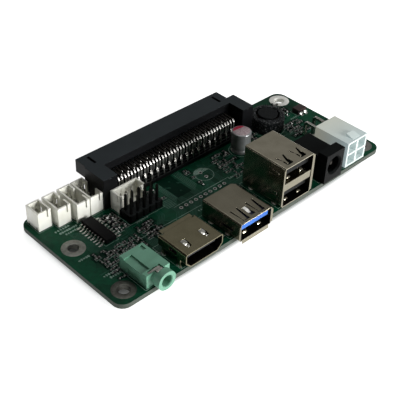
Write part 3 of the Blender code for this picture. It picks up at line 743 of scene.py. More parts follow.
def ribbons(name, paths, width, level, finish, height=0.035):
    """Flat ribbons along paths, at a level over the board."""
    verts, edges = [], []
    for path in paths:
        start = len(verts)
        verts += [(x, y, level) for x, y in path]
        edges += [(start + k, start + k + 1) for k in range(len(path) - 1)]
    mesh = bpy.data.meshes.new(name)
    mesh.from_pydata(verts, edges, [])
    result = grown(mesh, RIBBONS, Width=width, Height=height, Finish=finish)
    return finish_piece(name, result, finish)


# --- tails, solder and holes, found from the frame ---
def tail_ends(node):
    """Centre and half size of each solder tail of a CAD node, at the level where tails end."""
    low_points = [TO_BENCH @ v.co for v in NODES[node].data.vertices]
    low_points = [p for p in low_points if p.z < FLOOR_LEVEL + 0.02]
    groups = []
    for p in low_points:
        for group in groups:
            if any((p.xy - q.xy).length < 1.3 and min(abs(p.x - q.x), abs(p.y - q.y)) < 0.75 for q in group):
                group.append(p)
                break
        else:
            groups.append([p])
    tails = []
    for group in groups:
        xs, ys = [p.x for p in group], [p.y for p in group]
        tails.append(((min(xs) + max(xs)) / 2, (min(ys) + max(ys)) / 2,
                      (max(xs) - min(xs)) / 2, (max(ys) - min(ys)) / 2))
    return tails


def tin_fillet(sides=14):
    """A concave fillet of solder round a tail: unit radius at the board, narrowing upwards."""
    profile = [(1.0, 0.0), (1.0, 0.06), (0.8, 0.16), (0.64, 0.34), (0.54, 0.6), (0.46, 0.9), (0.0, 1.0),
               (0.0, 0.0)]
    return bench_mesh([turned(profile, sides=sides)], "tin_fillet")


def ring_pad(sides=18):
    """A flat annular pad of unit outer radius."""
    profile = [(1.0, 0.0), (0.97, 0.05), (0.62, 0.05), (0.6, 0.0)]
    return bench_mesh([turned(profile, sides=sides)], "ring_pad")


# --- the board ---
def bare_board():
    """Laminate with mask on both faces; its sawn edge and hole walls show the glass fibre."""
    mesh = worked(cad_mesh("circuit_board"), bevel=0.1, segments=2)
    obj = finish_piece("bare_board", mesh, MASK, replaced=("circuit_board",))
    obj.data.materials.append(EDGE)
    for face in obj.data.polygons:
        face.material_index = 0 if abs(face.normal.z) > 0.5 else 1


def hole_platings():
    """Eyelets with a slightly domed land on both faces, each with its own brightness, darkest at the front
    left; the back right land is a painted highlight, near white.
    """
    radius, bore, under = 3.6, 1.7, -THICKNESS
    profile = [(bore, -0.02), (bore + 0.14, 0.06), (bore + 0.4, 0.08), (radius - 0.25, 0.08), (radius, 0.02),
               (radius, 0.004), (bore + 0.15, 0.002), (bore + 0.15, under - 0.002), (radius, under - 0.004),
               (radius, under - 0.02), (radius - 0.25, under - 0.08), (bore + 0.4, under - 0.08),
               (bore + 0.14, under - 0.06), (bore, under + 0.02)]
    for number in "1234":
        node = f"mounting_hole_plating_{number}"
        rebuilt(node, [turned(profile)], LANDS[number], bevel=0, place=over(node))


# --- card connector ---
CARD_PITCH = 1.27
CARD_CONTACTS = 40
CARD = at(middle("edge_connector_upper_contacts").x, extent("edge_connector_housing")[1].y - 15.0)


def card_connector():
    remade("edge_connector_housing", BLACK, 0.16, CARD, cut=[
        [box((x - 0.5, x + 0.5), (-0.5, 0.9), (10.6, 12)) for x in (-29.3, 29.6)],
        [box((-31.0, 28.3), (14.8, 15.2), z) for z in ((5.75, 5.9), (10.3, 10.45))]])
    remade("edge_connector_tail_guide", SOCKET_BLACK, 0.06, CARD)
    ribs = [box((-0.2, 0.2), (9.0, 14.7), z) for z in ((8.95, 9.5), (6.1, 6.65))]
    comb = repeated(ribs, CARD_CONTACTS + 1, CARD_PITCH, BLACK, 0.04)
    finish_piece("edge_connector_ribs", comb, BLACK, CARD)

    rows = (("front", 1.8, 4.4), ("back", 3.1, 5.7))
    for k, (row, upper_tail, lower_tail) in enumerate(rows):
        place = CARD @ Matrix.Translation(((k - 0.5) * CARD_PITCH, 0, 0))
        upper = [(14.5, 9.1), (12.8, 8.25), (11.0, 8.5), (9.2, 8.0), (3.1, 7.65), (2.35, 6.7), (2.35, 4.5),
                 (upper_tail, 3.1), (upper_tail, FLOOR_LEVEL)]
        lower = [(14.5, 6.5), (12.8, 7.35), (11.0, 6.9), (9.2, 6.8), (lower_tail + 0.3, 6.8),
                 (lower_tail, 6.4), (lower_tail, FLOOR_LEVEL)]
        for level, path in (("upper", upper), ("lower", lower)):
            node = f"edge_connector_{level}_contacts"
            contact = strip("X", path, 0.24, (-0.28, 0.28), 0.5)
            mesh = repeated([contact], CARD_CONTACTS // 2, 2 * CARD_PITCH, DULL_TIN, 0.04)
            leads = finish_piece(f"card_contacts_{level}_{row}", mesh, DULL_TIN, place,
                                 (node,))
            # Upward and side faces of the contacts take the dark steel: painted shade on the runs, so the
            # bends stay bright.
            leads.data.materials.append(SHADE_PAINTED_STEEL)
            for face in leads.data.polygons:
                face.material_index = int(face.normal.z > 0.8 or abs(face.normal.x) > 0.8)
    shoulder = worked(bench_mesh([strip("X", [(2.3, 3.95), (1.85, 2.55)], 0.26, (-0.42, 0.42))]), bevel=0.1)
    row = grown(shoulder, ROWS, Count=CARD_CONTACTS // 2, Pitch=2 * CARD_PITCH, Finish=TIN)
    place = CARD @ Matrix.Translation((-0.5 * CARD_PITCH, 0, 0))
    finish_piece("card_contact_shoulders", row, TIN, place)


# --- headers ---
def square_pin(half, low, high, point=0.35):
    """A square pin with a tapered upper end."""
    corners = ((half, low), (half, high - point), (half * 0.45, high))
    return bench_mesh([lofted_square(corners)], "square_pin")


def lofted_square(sections):
    """A square bar through (half size, height) sections."""
    def add(bm):
        rings = []
        for half, height in sections:
            corners = ((-half, -half), (half, -half), (half, half), (-half, half))
            rings.append([bm.verts.new((x, y, height)) for x, y in corners])
        bm.faces.new(rings[0][::-1])
        bm.faces.new(rings[-1])
        for lower, upper in zip(rings, rings[1:]):
            for k in range(4):
                bm.faces.new((lower[k], lower[(k + 1) % 4], upper[(k + 1) % 4], upper[k]))
    return add


def wire_headers():
    """White wire headers with their pins, and two notches at the foot of one wall."""
    for letter in "abcde":
        housing, pins = f"wire_header_{letter}_housing", f"wire_header_{letter}_pins"
        low, high = extent(housing)
        centre = (low + high) / 2
        place = at(centre.x, centre.y, -90 if high.x - low.x > high.y - low.y else 0)
        half = max(high.x - low.x, high.y - low.y) / 2
        ends = [s * (half - 1.15) for s in BOTH]
        notches = [box((-2.35, -2.0), (y - 0.3, y + 0.3), (0, 1.2)) for y in ends]
        remade(housing, NYLON, 0.1, place, cut=[notches])
        points = [(x, y, 0, 0, 1.0) for x, y, _, _ in tail_ends(pins)]
        pin = square_pin(0.25, FLOOR_LEVEL, 5.7)
        stamped(f"finished_{pins}", pin, points, TIN, (pins,))


def pin_strip():
    """The two-row pin strip: a notched black base with square pins."""
    place = over("pin_strip_base")
    half_x, half_y = 6.35, 2.54
    between = (-3.81, -1.27, 1.27, 3.81)
    height = (-1, 4)
    wide, deep, chamfer = half_y + 0.1, half_y - 0.45, 0.5
    notches = [prism("Z", [(x - 0.45, s * wide), (x, s * deep), (x + 0.45, s * wide)], height)
               for x in between for s in BOTH]
    waist = [box((x - 0.05, x + 0.05), (-half_y - 1, half_y + 1), (2.2, 3)) for x in between]
    ends = [prism("Z", [(s * half_x, t * half_y), (s * (half_x - chamfer), t * half_y),
                        (s * half_x, t * (half_y - chamfer))], height) for s in BOTH for t in BOTH]
    remade("pin_strip_base", SOCKET_BLACK, 0.05, place, cut=[notches, ends, waist])
    points = [(x, y, 0, 0, 1.0) for x, y, _, _ in tail_ends("pin_strip_pins")]
    stamped("finished_pin_strip_pins", square_pin(0.32, FLOOR_LEVEL, 8.5, 0.5), points,
            DARK_PIN, ("pin_strip_pins",))


# --- chip and diode ---
def control_chip():
    """The control chip: a body with a dimple at pin one, gull-wing leads and their lands."""
    leads, pitch = 9, 1.27
    centre = middle("control_chip_body")
    place = at(centre.x, centre.y)
    remade("control_chip_body", CHIP, 0.07, place, cut=[rod("Z", (1.2, -5.0), 0.42, (1.62, 2.2), sides=32)])
    for side, s in (("left", -1), ("right", 1)):
        path = [(s * 1.5, 0.95), (s * 2.4, 0.95), (s * 2.65, 0.16), (s * 3.25, 0.12)]
        turn = Matrix.Rotation(math.radians(90), 4, "Z")
        lead = worked(bench_mesh([strip("Y", path, 0.16, (-0.21, 0.21), 0.18)]), bevel=0.03, segments=1)
        lead.transform(turn.inverted())
        node = f"control_chip_{side}_leads"
        row = grown(lead, ROWS, Count=leads, Pitch=pitch, Finish=TIN)
        finish_piece(f"finished_{node}", row, TIN, place @ turn, (node,))
    land = worked(bench_mesh([box((-0.75, 0.75), (-0.25, 0.25), (0.0, 0.06))]), bevel=0.02, segments=1)
    points = [(centre.x + s * 3.35, centre.y + pitch * (k - leads // 2), 0.0, 0, 1.0)
              for k in range(leads) for s in BOTH]
    stamped("control_chip_lands", land, points, SOLDER)


def power_diode():
    centre = middle("power_diode_body")
    place = at(centre.x, centre.y + 0.05)
    remade("power_diode_body", DIODE, 0.12, place)
    path = [(-0.75, 0.95), (-1.9, 0.95), (-2.2, 0.22), (-2.9, 0.14)]
    remade("power_diode_leads", SOLDER, 0.05, place,
           join=[[strip("X", path, 0.3, (x - 0.6, x + 0.6)) for x in (-1.05, 1.05)]])


# --- round sockets ---
def audio_jack():
    """The mint 3.5 mm jack: stepped body, barrel and front ring, with a bright ground clip."""
    x = (middle("audio_jack_tip_spring").x + middle("audio_jack_ring_spring").x) / 2
    place = at(x, 0)
    axis = 2.7
    channels = [box(sorted((s * 1.4, s * 3.3)), (3.2, 11.1), (0.9, 3.9)) for s in BOTH]
    shafts = [box(sorted((s * 2.1, s * 3.1)), (10.0, 11.0), (-0.5, 1.2)) for s in BOTH]
    rebuilt("audio_jack_housing", [box((-4.55, 3.8), (0.85, 12.2), (0.1, 4.75))], MINT, 0.12, place,
            join=[rod("Y", (0, axis), 2.55, (-0.6, 1.3)), rod("Y", (0, axis), 3.1, (-2.5, -0.35))],
            cut=[rod("Y", (0, axis), 1.8, (-3, 11.0)), rod("Y", (0, axis), 2.5, (-3.2, -1.8), 1.5),
                 channels, shafts,
                 box((-5, -1.8), (2.7, 10.4), (4.2, 6)), box((-1.5, 1.5), (-0.2, 2.6), (4.15, 6)),
                 box((-3.4, -1.4), (1.2, 2.4), (4.15, 6)), box((-3.4, -2.6), (1.2, 2.4), (-0.5, 4.4)),
                 box((1.9, 2.9), (9.6, 11.6), (4.3, 6)), box((-4.7, -4.3), (4.0, 8.6), (0.9, 2.3)),
                 box((-2.3, -1.9), (3.4, 7.0), (4.0, 6)), box((-1.2, 0.9), (12.0, 12.6), (1.0, 4.0))])
    clip = [(-0.1, 4.2), (0.35, 4.62), (1.2, 4.62), (1.5, 4.35), (2.35, 4.35)]
    rebuilt("audio_jack_ground_clip", [strip("X", clip, 0.16, (-1.1, 1.1), 0.2)], TIN, 0.03, place,
            join=[box((-3.2, -1.0), (1.55, 2.2), (4.27, 4.43)),
                  box((-3.2, -2.8), (1.6, 2.1), (TAIL_END, 4.4))])
    for name in ("tip", "ring"):
        node = f"audio_jack_{name}_spring"
        remade(node, CONTACT, 0.04, body=f"audio_{name}_spring")


def dc_jack():
    """The barrel jack: a black housing with a tall front, a centre pin and a leaf spring."""
    place = at(middle("dc_jack_housing").x, 0)
    axis = 5.8
    rebuilt("dc_jack_housing", [box((-4.27, 4.27), (-0.9, 2.85), (0.1, 10.75))], JACK_BLACK, 0.16, place,
            join=[box((-3.9, 3.9), (2.5, 13.6), (0.1, 8.9))],
            cut=[rod("Y", (0, axis), 2.85, (-1.5, 10.5)), rod("Y", (0, axis), 3.6, (-1.1, -0.1), 2.7),
                 rod("Y", (0, axis), 1.15, (9, 14.5)), box((-1.3, 1.3), (1.0, 11.9), (1.0, 3.8)),
                 box((-0.6, 0.6), (11.15, 11.8), (-0.5, 2.0)),
                 [box(sorted((s * 3.7, s * 4.0)), (4.2, 12.4), (1.0, 5.2)) for s in BOTH]])
    tip = [rod("Y", (0, axis), 0.55, (0.5, 1.1), 1.0, 48)]
    # The centre pin is the dark steel: painted shade deep in the bore.
    rebuilt("dc_jack_centre_pin", [rod("Y", (0, axis), 1.0, (1.05, 13.9), sides=48)], SHADE_PAINTED_STEEL, 0.05, place,
            join=[tip, box((-1.1, 1.1), (13.8, 14.1), (TAIL_END, 6.9))])
    remade("dc_jack_leaf_spring", CONTACT, 0.04, body="dc_leaf_spring")
    remade("dc_jack_spring_terminal", TIN, 0.05)


# --- box-shaped ports ---
def finger_slot(x, outer, inner):
    """The slot round a spring finger; outer and inner are (half width, y) from root to tip."""
    left = [(x - half, y) for half, y in outer]
    right = [(x + half, y) for half, y in reversed(outer)]
    finger = [(x + half, y) for half, y in inner] + [(x - half, y) for half, y in reversed(inner)]
    return left + right + finger


def pressed(fingers, top, drop):
    """Bends fingers down: each is (x, inner outline); a point sinks with its way from the root."""
    def move(co):
        for x, inner in fingers:
            (_, root), (_, tip) = inner[0], inner[-1]
            widths = [half for half, y in inner if y <= co.y + 0.05]
            half = max(widths) if widths else 0
            if tip - 0.01 <= co.y < root - 0.01 and abs(co.x - x) <= half + 0.02 and co.z > top - 0.6:
                share = (root - co.y) / (root - tip)
                return Vector((co.x, co.y, co.z - drop * share))
        return co
    return move


def sleeve(corners, radius, wall, span):
    """A folded sheet sleeve with rounded edges: the blank and the hollow to cut from it."""
    outer = rounded(corners, radius)
    return prism("Y", outer, span), prism("Y", inset(outer, wall), (span[0] - 1, span[1] + 1))


def shade_inside(obj, place, x, z):
    """The faces that look into a socket get painted shade, darker steel than the faces that look out."""
    obj.data.materials.append(SHADE_PAINTED_STEEL)
    to_place = (TO_FRAME @ place).inverted()
    for face in obj.data.polygons:
        centre = to_place @ face.center
        within = x[0] < centre.x < x[1] and z[0] < centre.z < z[1]
        face.material_index = int(within and abs(face.normal.y) < 0.5)


def legs(x, rows, top):
    """Legs of a shell, tapered below the board."""
    outline = [(-0.6, top), (-0.6, -2.2), (-0.3, TAIL_END), (0.3, TAIL_END), (0.6, -2.2), (0.6, top)]
    return [prism("X", [(y + dy, z) for dy, z in outline], (s * x - 0.17, s * x + 0.17))
            for y in rows for s in BOTH]


def floor_fingers(name, place, level, x, tip, root, rise=0.9):
    """Two springs that press a plug up from the floor of a port."""
    shapes = []
    for s in BOTH:
        path = [(root, level + 0.08), (root - 0.8, level + 0.08), (tip + 0.5, level + rise),
                (tip, level + rise * 0.5)]
        shapes.append(strip("X", path, 0.16, (s * x - 0.75, s * x + 0.75), 0.3))
    steel_part(name, shapes, STEEL, place, 0.03)


def contacts(node, place, path, count, pitch, width):
    """A row of gilt contacts in a CAD node's place."""
    contact = strip("X", path, 0.16, (-width / 2, width / 2), 0.25)
    mesh = repeated([contact], count, pitch, CONTACT)
    finish_piece(f"finished_{node}", mesh, CONTACT, place, (node,))


def steel_part(name, shapes, finish, place, bevel=0.05, join=()):
    """A separate folded or pressed part of a shell."""
    finish_piece(name, worked(bench_mesh(shapes), join, bevel=bevel), finish, place)


def hdmi_port():
    """The video socket: olive shell with two spring windows, tongue and two contact rows."""
    place = at(middle("hdmi_shell").x, 0)
    top, wall = 5.65, 0.32
    corners = [(-7.22, top), (-7.22, 2.4), (-5.3, 0.4), (5.3, 0.4), (7.22, 2.4), (7.22, top)]
    blank, hollow = sleeve(corners, 0.75, wall, (-0.9, 10.7))
    windows, springs = [], []
    for s in BOTH:
        x = s * 3.5
        windows.append(prism("Z", [(x - 0.95, 4.9), (x - 0.95, 3.3), (x - 0.6, 1.4), (x + 0.6, 1.4),
                                   (x + 0.95, 3.3), (x + 0.95, 4.9)], (5, 6)))
        path = [(5.4, top - 0.16), (3.7, top - 0.2), (3.2, top - 0.28), (2.2, top - 1.6)]
        springs.append(strip("X", path, 0.18, (x - 0.78, x + 0.78), 0.3))
    tab = box((-5.8, 6.1), (10.5, 12.1), (top - wall, top))
    seam = box((-0.05, 0.05), (-1.5, 11), (0, 0.9))
    corner_cuts = [box((s * 5.9 - 0.5, s * 5.9 + 0.5), (10.2, 11), (top - 0.6, top + 0.5))
                   for s in BOTH]
    side_windows = [box(sorted((s * 6.8, s * 7.4)), (3.0, 6.2), (3.4, 4.6)) for s in BOTH]
    shell = rebuilt("hdmi_shell", [blank], OLIVE_STEEL, 0.05, place,
                    cut=[hollow, windows, seam, corner_cuts, side_windows])
    shade_inside(shell, place, (-6.98, 6.98), (0.6, top - 0.28))
    steel_part("hdmi_shell_tab_and_legs", [tab], OLIVE_STEEL, place, join=[legs(7.04, (2.0, 8.6), 3.0)])
    steel_part("hdmi_shell_springs", springs, TIN, place, 0.03)
    remade("hdmi_insulator", TONGUE, 0.06, place)
    path = [(1.4, 3.94), (10.9, 3.94), (11.15, 3.65), (11.15, 0.4), (11.4, 0.14), (12.0, 0.14)]
    contacts("hdmi_contacts", place, path, 10, 1.0, 0.5)
    lower = strip("X", [(1.4, 2.38), (7.6, 2.38)], 0.16, (-0.25, 0.25))
    row = repeated([lower], 9, 1.0, CONTACT)
    finish_piece("hdmi_lower_contacts", row, CONTACT, place)


def usb3_port():
    """The single USB socket: shell with two top fingers and a lance, front lips and a blue tongue."""
    place = at(middle("usb3_shell").x, 0)
    top, low = 6.55, 0.1
    blank, hollow = sleeve([(-6.6, top), (-6.6, low), (6.6, low), (6.6, top)], 0.55, 0.32, (-2.6, 13.3))
    outer = [(1.55, 3.9), (1.2, -0.9), (1.4, -1.7)]
    inner = [(1.0, 3.9), (0.6, -1.1)]
    slots = [prism("Z", finger_slot(s * 3.2, outer, inner), (6.0, 7)) for s in BOTH]
    corner = prism("Z", [(5.0, 13.6), (6.9, 13.6), (6.9, 11.7)], (5.5, 7))
    lance = [box((-0.85, 0.85), (-1.2, 2.9), (6.0, 7))]
    sides = [box(sorted((s * 6.2, s * 7.0)), (0.5, 5.5), (2.4, 3.2)) for s in BOTH]
    bend = pressed([(s * 3.2, inner) for s in BOTH], top, 0.45)
    floor_window = box((-5.6, 5.6), (10.6, 12.8), (-1, 0.9))
    shell = rebuilt("usb3_shell", [blank], SHADED_STEEL, 0.05, place, shape=bend,
                    cut=[hollow, slots, corner, lance, sides, floor_window])
    shade_inside(shell, place, (-6.35, 6.35), (0.35, top - 0.28))
    steel_part("usb3_back_plate", [box((-6.2, 6.2), (12.95, 13.25), (1.2, 6.2))], SHADED_STEEL, place)
    lips = [strip("X", [(-1.9, 0.26), (-2.45, 0.22), (-2.72, -0.9)], 0.26, (-5.6, 5.6), 0.3),
            strip("X", [(-1.9, top - 0.16), (-2.5, top - 0.14), (-2.72, top - 0.02)], 0.24, (-5.6, 5.6), 0.2)]
    lips += [strip("Z", [(s * 6.44, -1.9), (s * 6.5, -2.45), (s * 7.0, -2.72)], 0.26, (1.0, 5.8), 0.3)
             for s in BOTH]
    steel_part("usb3_front_lips", lips, SHADED_STEEL, place)
    steel_part("usb3_shell_legs", legs(6.42, (2.6, 9.6), 0.9), SHADED_STEEL, place)
    # The lance is near white: a painted highlight on the flap.
    tab = [strip("X", [(3.0, top - 0.16), (1.7, top - 0.2), (-0.6, top - 1.02)], 0.16, (-0.6, 0.6))]
    steel_part("usb3_shell_lance", tab, HIGHLIGHT_PAINTED_TIN, place, 0.03)
    floor_fingers("usb3_floor_springs", place, 0.45, 3.0, -1.2, 3.4, 1.1)
    tongue = remade("usb3_insulator", BLUE, 0.08, place, join=[box((-5.6, 5.6), (-1.9, 4.0), (3.8, 5.4))])
    # Low faces of the tongue and upward faces take the darker blue: painted shade inside the socket.
    tongue.data.materials.append(SHADED_BLUE)
    for face in tongue.data.polygons:
        face.material_index = int((TO_BENCH @ face.center).z < 3.9 or face.normal.z > 0.8)
    path = [(-1.0, 3.68), (10.9, 3.68), (11.2, 3.36), (11.2, TAIL_END)]
    contacts("usb3_signal_contacts", place, path, 4, 2.33, 0.9)
    path = [(3.0, 3.25), (12.0, 3.25), (12.3, 2.95), (12.3, TAIL_END)]
    contacts("usb3_fast_contacts", place, path, 5, 2.33, 0.5)


def usb2_stack():
    """The double-height USB socket: shell with top and side fingers, divider and two black tongues."""
    place = at(middle("usb2_stack_divider").x, 0)
    top, low = 14.69, 0.1
    blank, hollow = sleeve([(-6.5, top), (-6.5, low), (6.5, low), (6.5, top)], 0.5, 0.32, (0.0, 16.8))
    outer = [(1.85, 5.9), (1.0, 3.5), (1.3, 3.1), (1.3, 1.5), (0.9, 1.2)]
    inner = [(1.25, 5.9), (0.42, 3.5), (0.34, 2.3)]
    slots = [prism("Z", finger_slot(s * 3.0, outer, inner), (14.2, 15.2)) for s in BOTH]
    side_outer, side_inner = [(1.05, 6.4), (0.85, 2.2)], [(0.75, 6.4), (0.55, 2.6)]
    side_slots = []
    for level in (4.2, 11.4):
        outline = [(y, z) for z, y in finger_slot(level, side_outer, side_inner)]
        side_slots += [prism("X", outline, sorted((s * 6.0, s * 7.0))) for s in BOTH]
    bend = pressed([(s * 3.0, inner) for s in BOTH], top, 0.5)
    floor_window = box((-5.4, 5.4), (14.0, 16.3), (-1, 0.9))
    shell = rebuilt("usb2_stack_shell", [blank], STEEL, 0.05, place, shape=bend,
                    cut=[hollow, slots, side_slots, floor_window])
    shade_inside(shell, place, (-6.25, 6.25), (0.35, top - 0.28))
    steel_part("usb2_back_plate", [box((-6.2, 6.2), (16.45, 16.75), (1.2, top - 0.4))], STEEL, place)
    flanges = [box(x, (-0.04, 0.26), (0.7, top - 0.6)) for x in ((6.25, 7.2), (-6.9, -6.25))]
    steel_part("usb2_side_flanges", flanges, SHADED_STEEL, place, 0.1)
    steel_part("usb2_shell_legs", legs(6.32, (3.4, 13.2), 0.9), STEEL, place)
    remade("usb2_stack_divider", SHADED_STEEL, 0.12, place)
    floor_fingers("usb2_lower_floor_springs", place, 0.45, 3.0, 1.5, 5.5)
    floor_fingers("usb2_upper_floor_springs", place, 8.65, 3.0, 1.5, 5.5)
    for level, slot, tail in (("upper", 11.0, 15.7), ("lower", 3.0, 14.7)):
        remade(f"usb2_{level}_insulator", SOCKET_BLACK, 0.08, place)
        path = [(1.8, slot + 0.16), (tail - 0.4, slot + 0.16), (tail, slot - 0.3), (tail, TAIL_END)]
        contacts(f"usb2_{level}_contacts", place, path, 4, 2.33, 0.9)


def power_connector():
    """The 2 x 2 power socket: a milky nylon housing with four bent square pins."""
    place = at(middle("power_connector_housing").x, 0)
    remade("power_connector_housing", GLOWING_NYLON, 0.14, place)
    for level, z, tail in (("lower", 2.65, 16.4), ("upper", 7.0, 20.2)):
        for side, x in (("left", -2.3), ("right", 2.3)):
            path = [(2.6, z), (3.2, z), (tail - 0.4, z), (tail, z - 0.8), (tail, TAIL_END)]
            pin = strip("X", path, 1.0, (x - 0.5, x + 0.5), 1.1)
            rebuilt(f"power_pin_{level}_{side}", [pin], TIN, 0.12, place)


# --- round parts ---
def capacitor():
    """A small can capacitor: rolled groove over its bung, printed top, two leads."""
    centre = middle("capacitor_can")
    place = at(centre.x, centre.y)
    rim = rounded([(0.001, 7.72), (0.001, 7.3), (2.6, 7.3), (2.6, 0.3), (2.75, 0.2), (3.22, 0.2), (3.3, 0.35),
                   (3.3, 1.25), (2.98, 1.68), (3.3, 2.1), (3.3, 7.72)],
                  [0, 0, 0.1, 0, 0, 0.05, 0.05, 0.2, 0.35, 0.2, 0.42])
    rebuilt("capacitor_can", [turned(rim)], ALUMINIUM, 0, place)
    label = [(0.001, 7.745), (2.8, 7.745), (2.86, 7.72), (2.86, 7.7), (0.001, 7.7)]
    finish_piece("capacitor_printed_top", bench_mesh([turned(label)]), capacitor_print(*top_point(centre)),
                 place)
    remade("capacitor_bung", RUBBER, 0.08, place)
    for name, x in (("positive", 1.25), ("negative", -1.25)):
        lead = rod("Z", (x, 0), 0.3, (TAIL_END, 2.6), sides=24)
        rebuilt(f"capacitor_{name}_lead", [lead], TIN, 0.06, place)


def top_point(centre):
    """A board point in row-frame millimetres, for patterns on Object coordinates."""
    point = TO_FRAME @ centre
    return point.x / MM, point.y / MM


def inductor():
    """A wound power inductor: drum core in a ring-shaped shield."""
    place = over("inductor_shield")
    drum = rounded([(0.001, 5.55), (0.001, 0.75), (3.9, 0.75), (3.9, 1.6), (1.9, 1.6), (1.9, 4.75),
                    (3.45, 4.75), (3.45, 5.55)], [0, 0, 0.15, 0.15, 0.1, 0.1, 0.15, 0.3])
    rebuilt("inductor_core", [turned(drum)], FERRITE, 0, place)
    turns = []
    for layer in range(7):
        z = 2.0 + 0.38 * layer
        turns.append(turned([(3.35 + 0.19 * math.cos(a), z + 0.19 * math.sin(a))
                             for a in (math.pi * k / 4 for k in range(8))], sides=48))
    core = turned([(2.1, 4.4), (2.1, 1.9), (3.3, 1.9), (3.3, 4.4)], sides=48)
    mesh = bench_mesh(turns + [core])
    finish_piece("finished_inductor_winding", mesh, WIRE, place, ("inductor_winding",))
    ring = rounded([(0.001, 0.6), (0.001, 0.1), (5.9, 0.1), (5.95, 5.3), (4.1, 5.3), (4.1, 0.6)],
                   [0, 0, 0.2, 0.9, 0.35, 0.1])
    rebuilt("inductor_shield", [turned(ring)], SHIELD, 0, place,
            cut=[[box(sorted((s * 3.9, s * 6.2)), (-0.6, 0.6), (4.9, 6)) for s in BOTH]])


# --- solder, small parts and print ---
THROUGH_HOLE = ["pin_strip_pins", "audio_jack_ground_clip", "audio_jack_tip_spring",
                "audio_jack_ring_spring", "dc_jack_centre_pin", "dc_jack_spring_terminal", "hdmi_shell",
                "usb3_shell", "usb2_stack_shell", "usb3_signal_contacts", "usb3_fast_contacts",
                "usb2_upper_contacts", "usb2_lower_contacts", "power_pin_lower_left",
                "power_pin_lower_right", "power_pin_upper_left", "power_pin_upper_right",
                "capacitor_positive_lead", "capacitor_negative_lead", "edge_connector_upper_contacts",
                "edge_connector_lower_contacts"] + [f"wire_header_{letter}_pins" for letter in "abcde"]
TAILS = [tail for node in THROUGH_HOLE for tail in tail_ends(node)]


def solder_joints():
    """Pads and solder fillets round every tail, found from the frame, on both faces."""
    above, below, rings = [], [], []
    for x, y, half_x, half_y in TAILS:
        reach_x, reach_y = half_x + 0.36, half_y + 0.36
        rings += [(x, y, 0.0, 0, (reach_x + 0.1, reach_y + 0.1, 1.0)),
                  (x, y, -THICKNESS, 0, (reach_x + 0.15, reach_y + 0.15, -1.0))]
        above.append((x, y, 0.0, 0, (reach_x, reach_y, 0.32)))
        below.append((x, y, -THICKNESS, 0, (reach_x, reach_y, -1.05)))
    stamped("solder_joints_above", tin_fillet(), above, SOLDER)
    stamped("solder_joints_below", tin_fillet(), below, SOLDER)
    stamped("solder_pads", ring_pad(), rings, SOLDER)


def chip_parts(seed=7):
    """Surface-mount chip parts in the groups where the circuit needs them."""
    draw = random.Random(seed)
    groups = [  # x range, y range, columns, rows
        ((7.0, 12.6), (8.2, 21.6), 4, 9), ((18.9, 23.6), (24.2, 33.0), 4, 6),
        ((12.5, 22.5), (14.4, 20.6), 7, 5), ((24.0, 30.0), (15.6, 22.8), 5, 5),
        ((38.2, 41.2), (2.4, 12.6), 2, 6), ((57.0, 62.0), (2.6, 18.8), 3, 8),
        ((24.6, 28.6), (34.5, 36.3), 3, 1), ((96.6, 105.6), (22.6, 30.6), 6, 5),
        ((101.0, 107.0), (33.6, 43.4), 4, 6), ((84.0, 88.4), (20.0, 38.6), 3, 9),
        ((36.4, 40.8), (27.0, 33.6), 3, 5), ((53.2, 55.0), (24.0, 34.4), 1, 7),
        ((64.0, 72.2), (20.0, 33.6), 5, 8), ((78.8, 81.6), (3.0, 14.0), 1, 5)]
    share_missing, share_resistors = 0.24, 0.45
    parts = []
    for (x0, x1), (y0, y1), columns, rows in groups:
        for column in range(columns):
            for row in range(rows):
                if draw.random() < share_missing:
                    continue
                x = x0 + (x1 - x0) * (column + 0.5) / columns + draw.uniform(-0.3, 0.3)
                y = y0 + (y1 - y0) * (row + 0.5) / rows + draw.uniform(-0.18, 0.18)
                turn = draw.choice((0, 0, 90))
                size = draw.choice((0.5, 0.6, 0.6, 0.82))
                parts.append((x, y, turn, size, draw.random() < share_resistors))
    return parts


STANDING = [extent(node) for node in ("audio_jack_housing", "hdmi_shell", "usb3_shell", "usb2_stack_shell",
                                      "dc_jack_housing", "power_connector_housing")]


def under_a_housing(x, y, margin=0.3):
    """Whether a housing that stands on the board covers this board point."""
    return any(low.x - margin < x < high.x + margin and low.y - margin < y < high.y + margin
               for low, high in STANDING)


def place_chip_parts():
    """Two kinds of chip part with their ends and pads, each on a dark square of painted shade round the part.
    """
    body = worked(bench_mesh([box((-0.55, 0.55), (-0.42, 0.42), (0.05, 0.6))]), bevel=0.05, segments=1)
    outline = [(0.5, 0.04), (1.15, 0.0), (0.86, 0.28), (0.8, 0.62), (0.5, 0.64)]
    cap_shapes = [prism("Y", [(s * x, z) for x, z in outline], (-0.46, 0.46)) for s in BOTH]
    caps = worked(bench_mesh(cap_shapes), bevel=0.04, segments=1)
    pads = worked(bench_mesh([box(sorted((s * 0.6, s * 1.2)), (-0.48, 0.48), (-0.02, 0.03)) for s in BOTH]))
    shade_patch = worked(bench_mesh([box((-2.1, 2.1), (-1.5, 1.5), (-0.02, 0.045))]))
    parts = [part for part in chip_parts() if not under_a_housing(part[0], part[1])]

    def points(level, kinds=(True, False)):
        return [(x, y, level, turn, size) for x, y, turn, size, resistor in parts if resistor in kinds]

    stamped("resistor_bodies", body, points(0.02, (True,)), RESISTOR)
    stamped("capacitor_chip_bodies", body.copy(), points(0.02, (False,)), CHIP_CERAMIC)
    stamped("chip_part_ends", caps, points(0.02), PART_ENDS)
    stamped("chip_part_pads", pads, points(0.045), SOLDER)
    # Dark squares under the chip parts: painted shade between the parts.
    stamped("bare_mask_round_chip_parts", shade_patch, points(0.0), DARK_MASK_AND_PAINTED_SHADE)


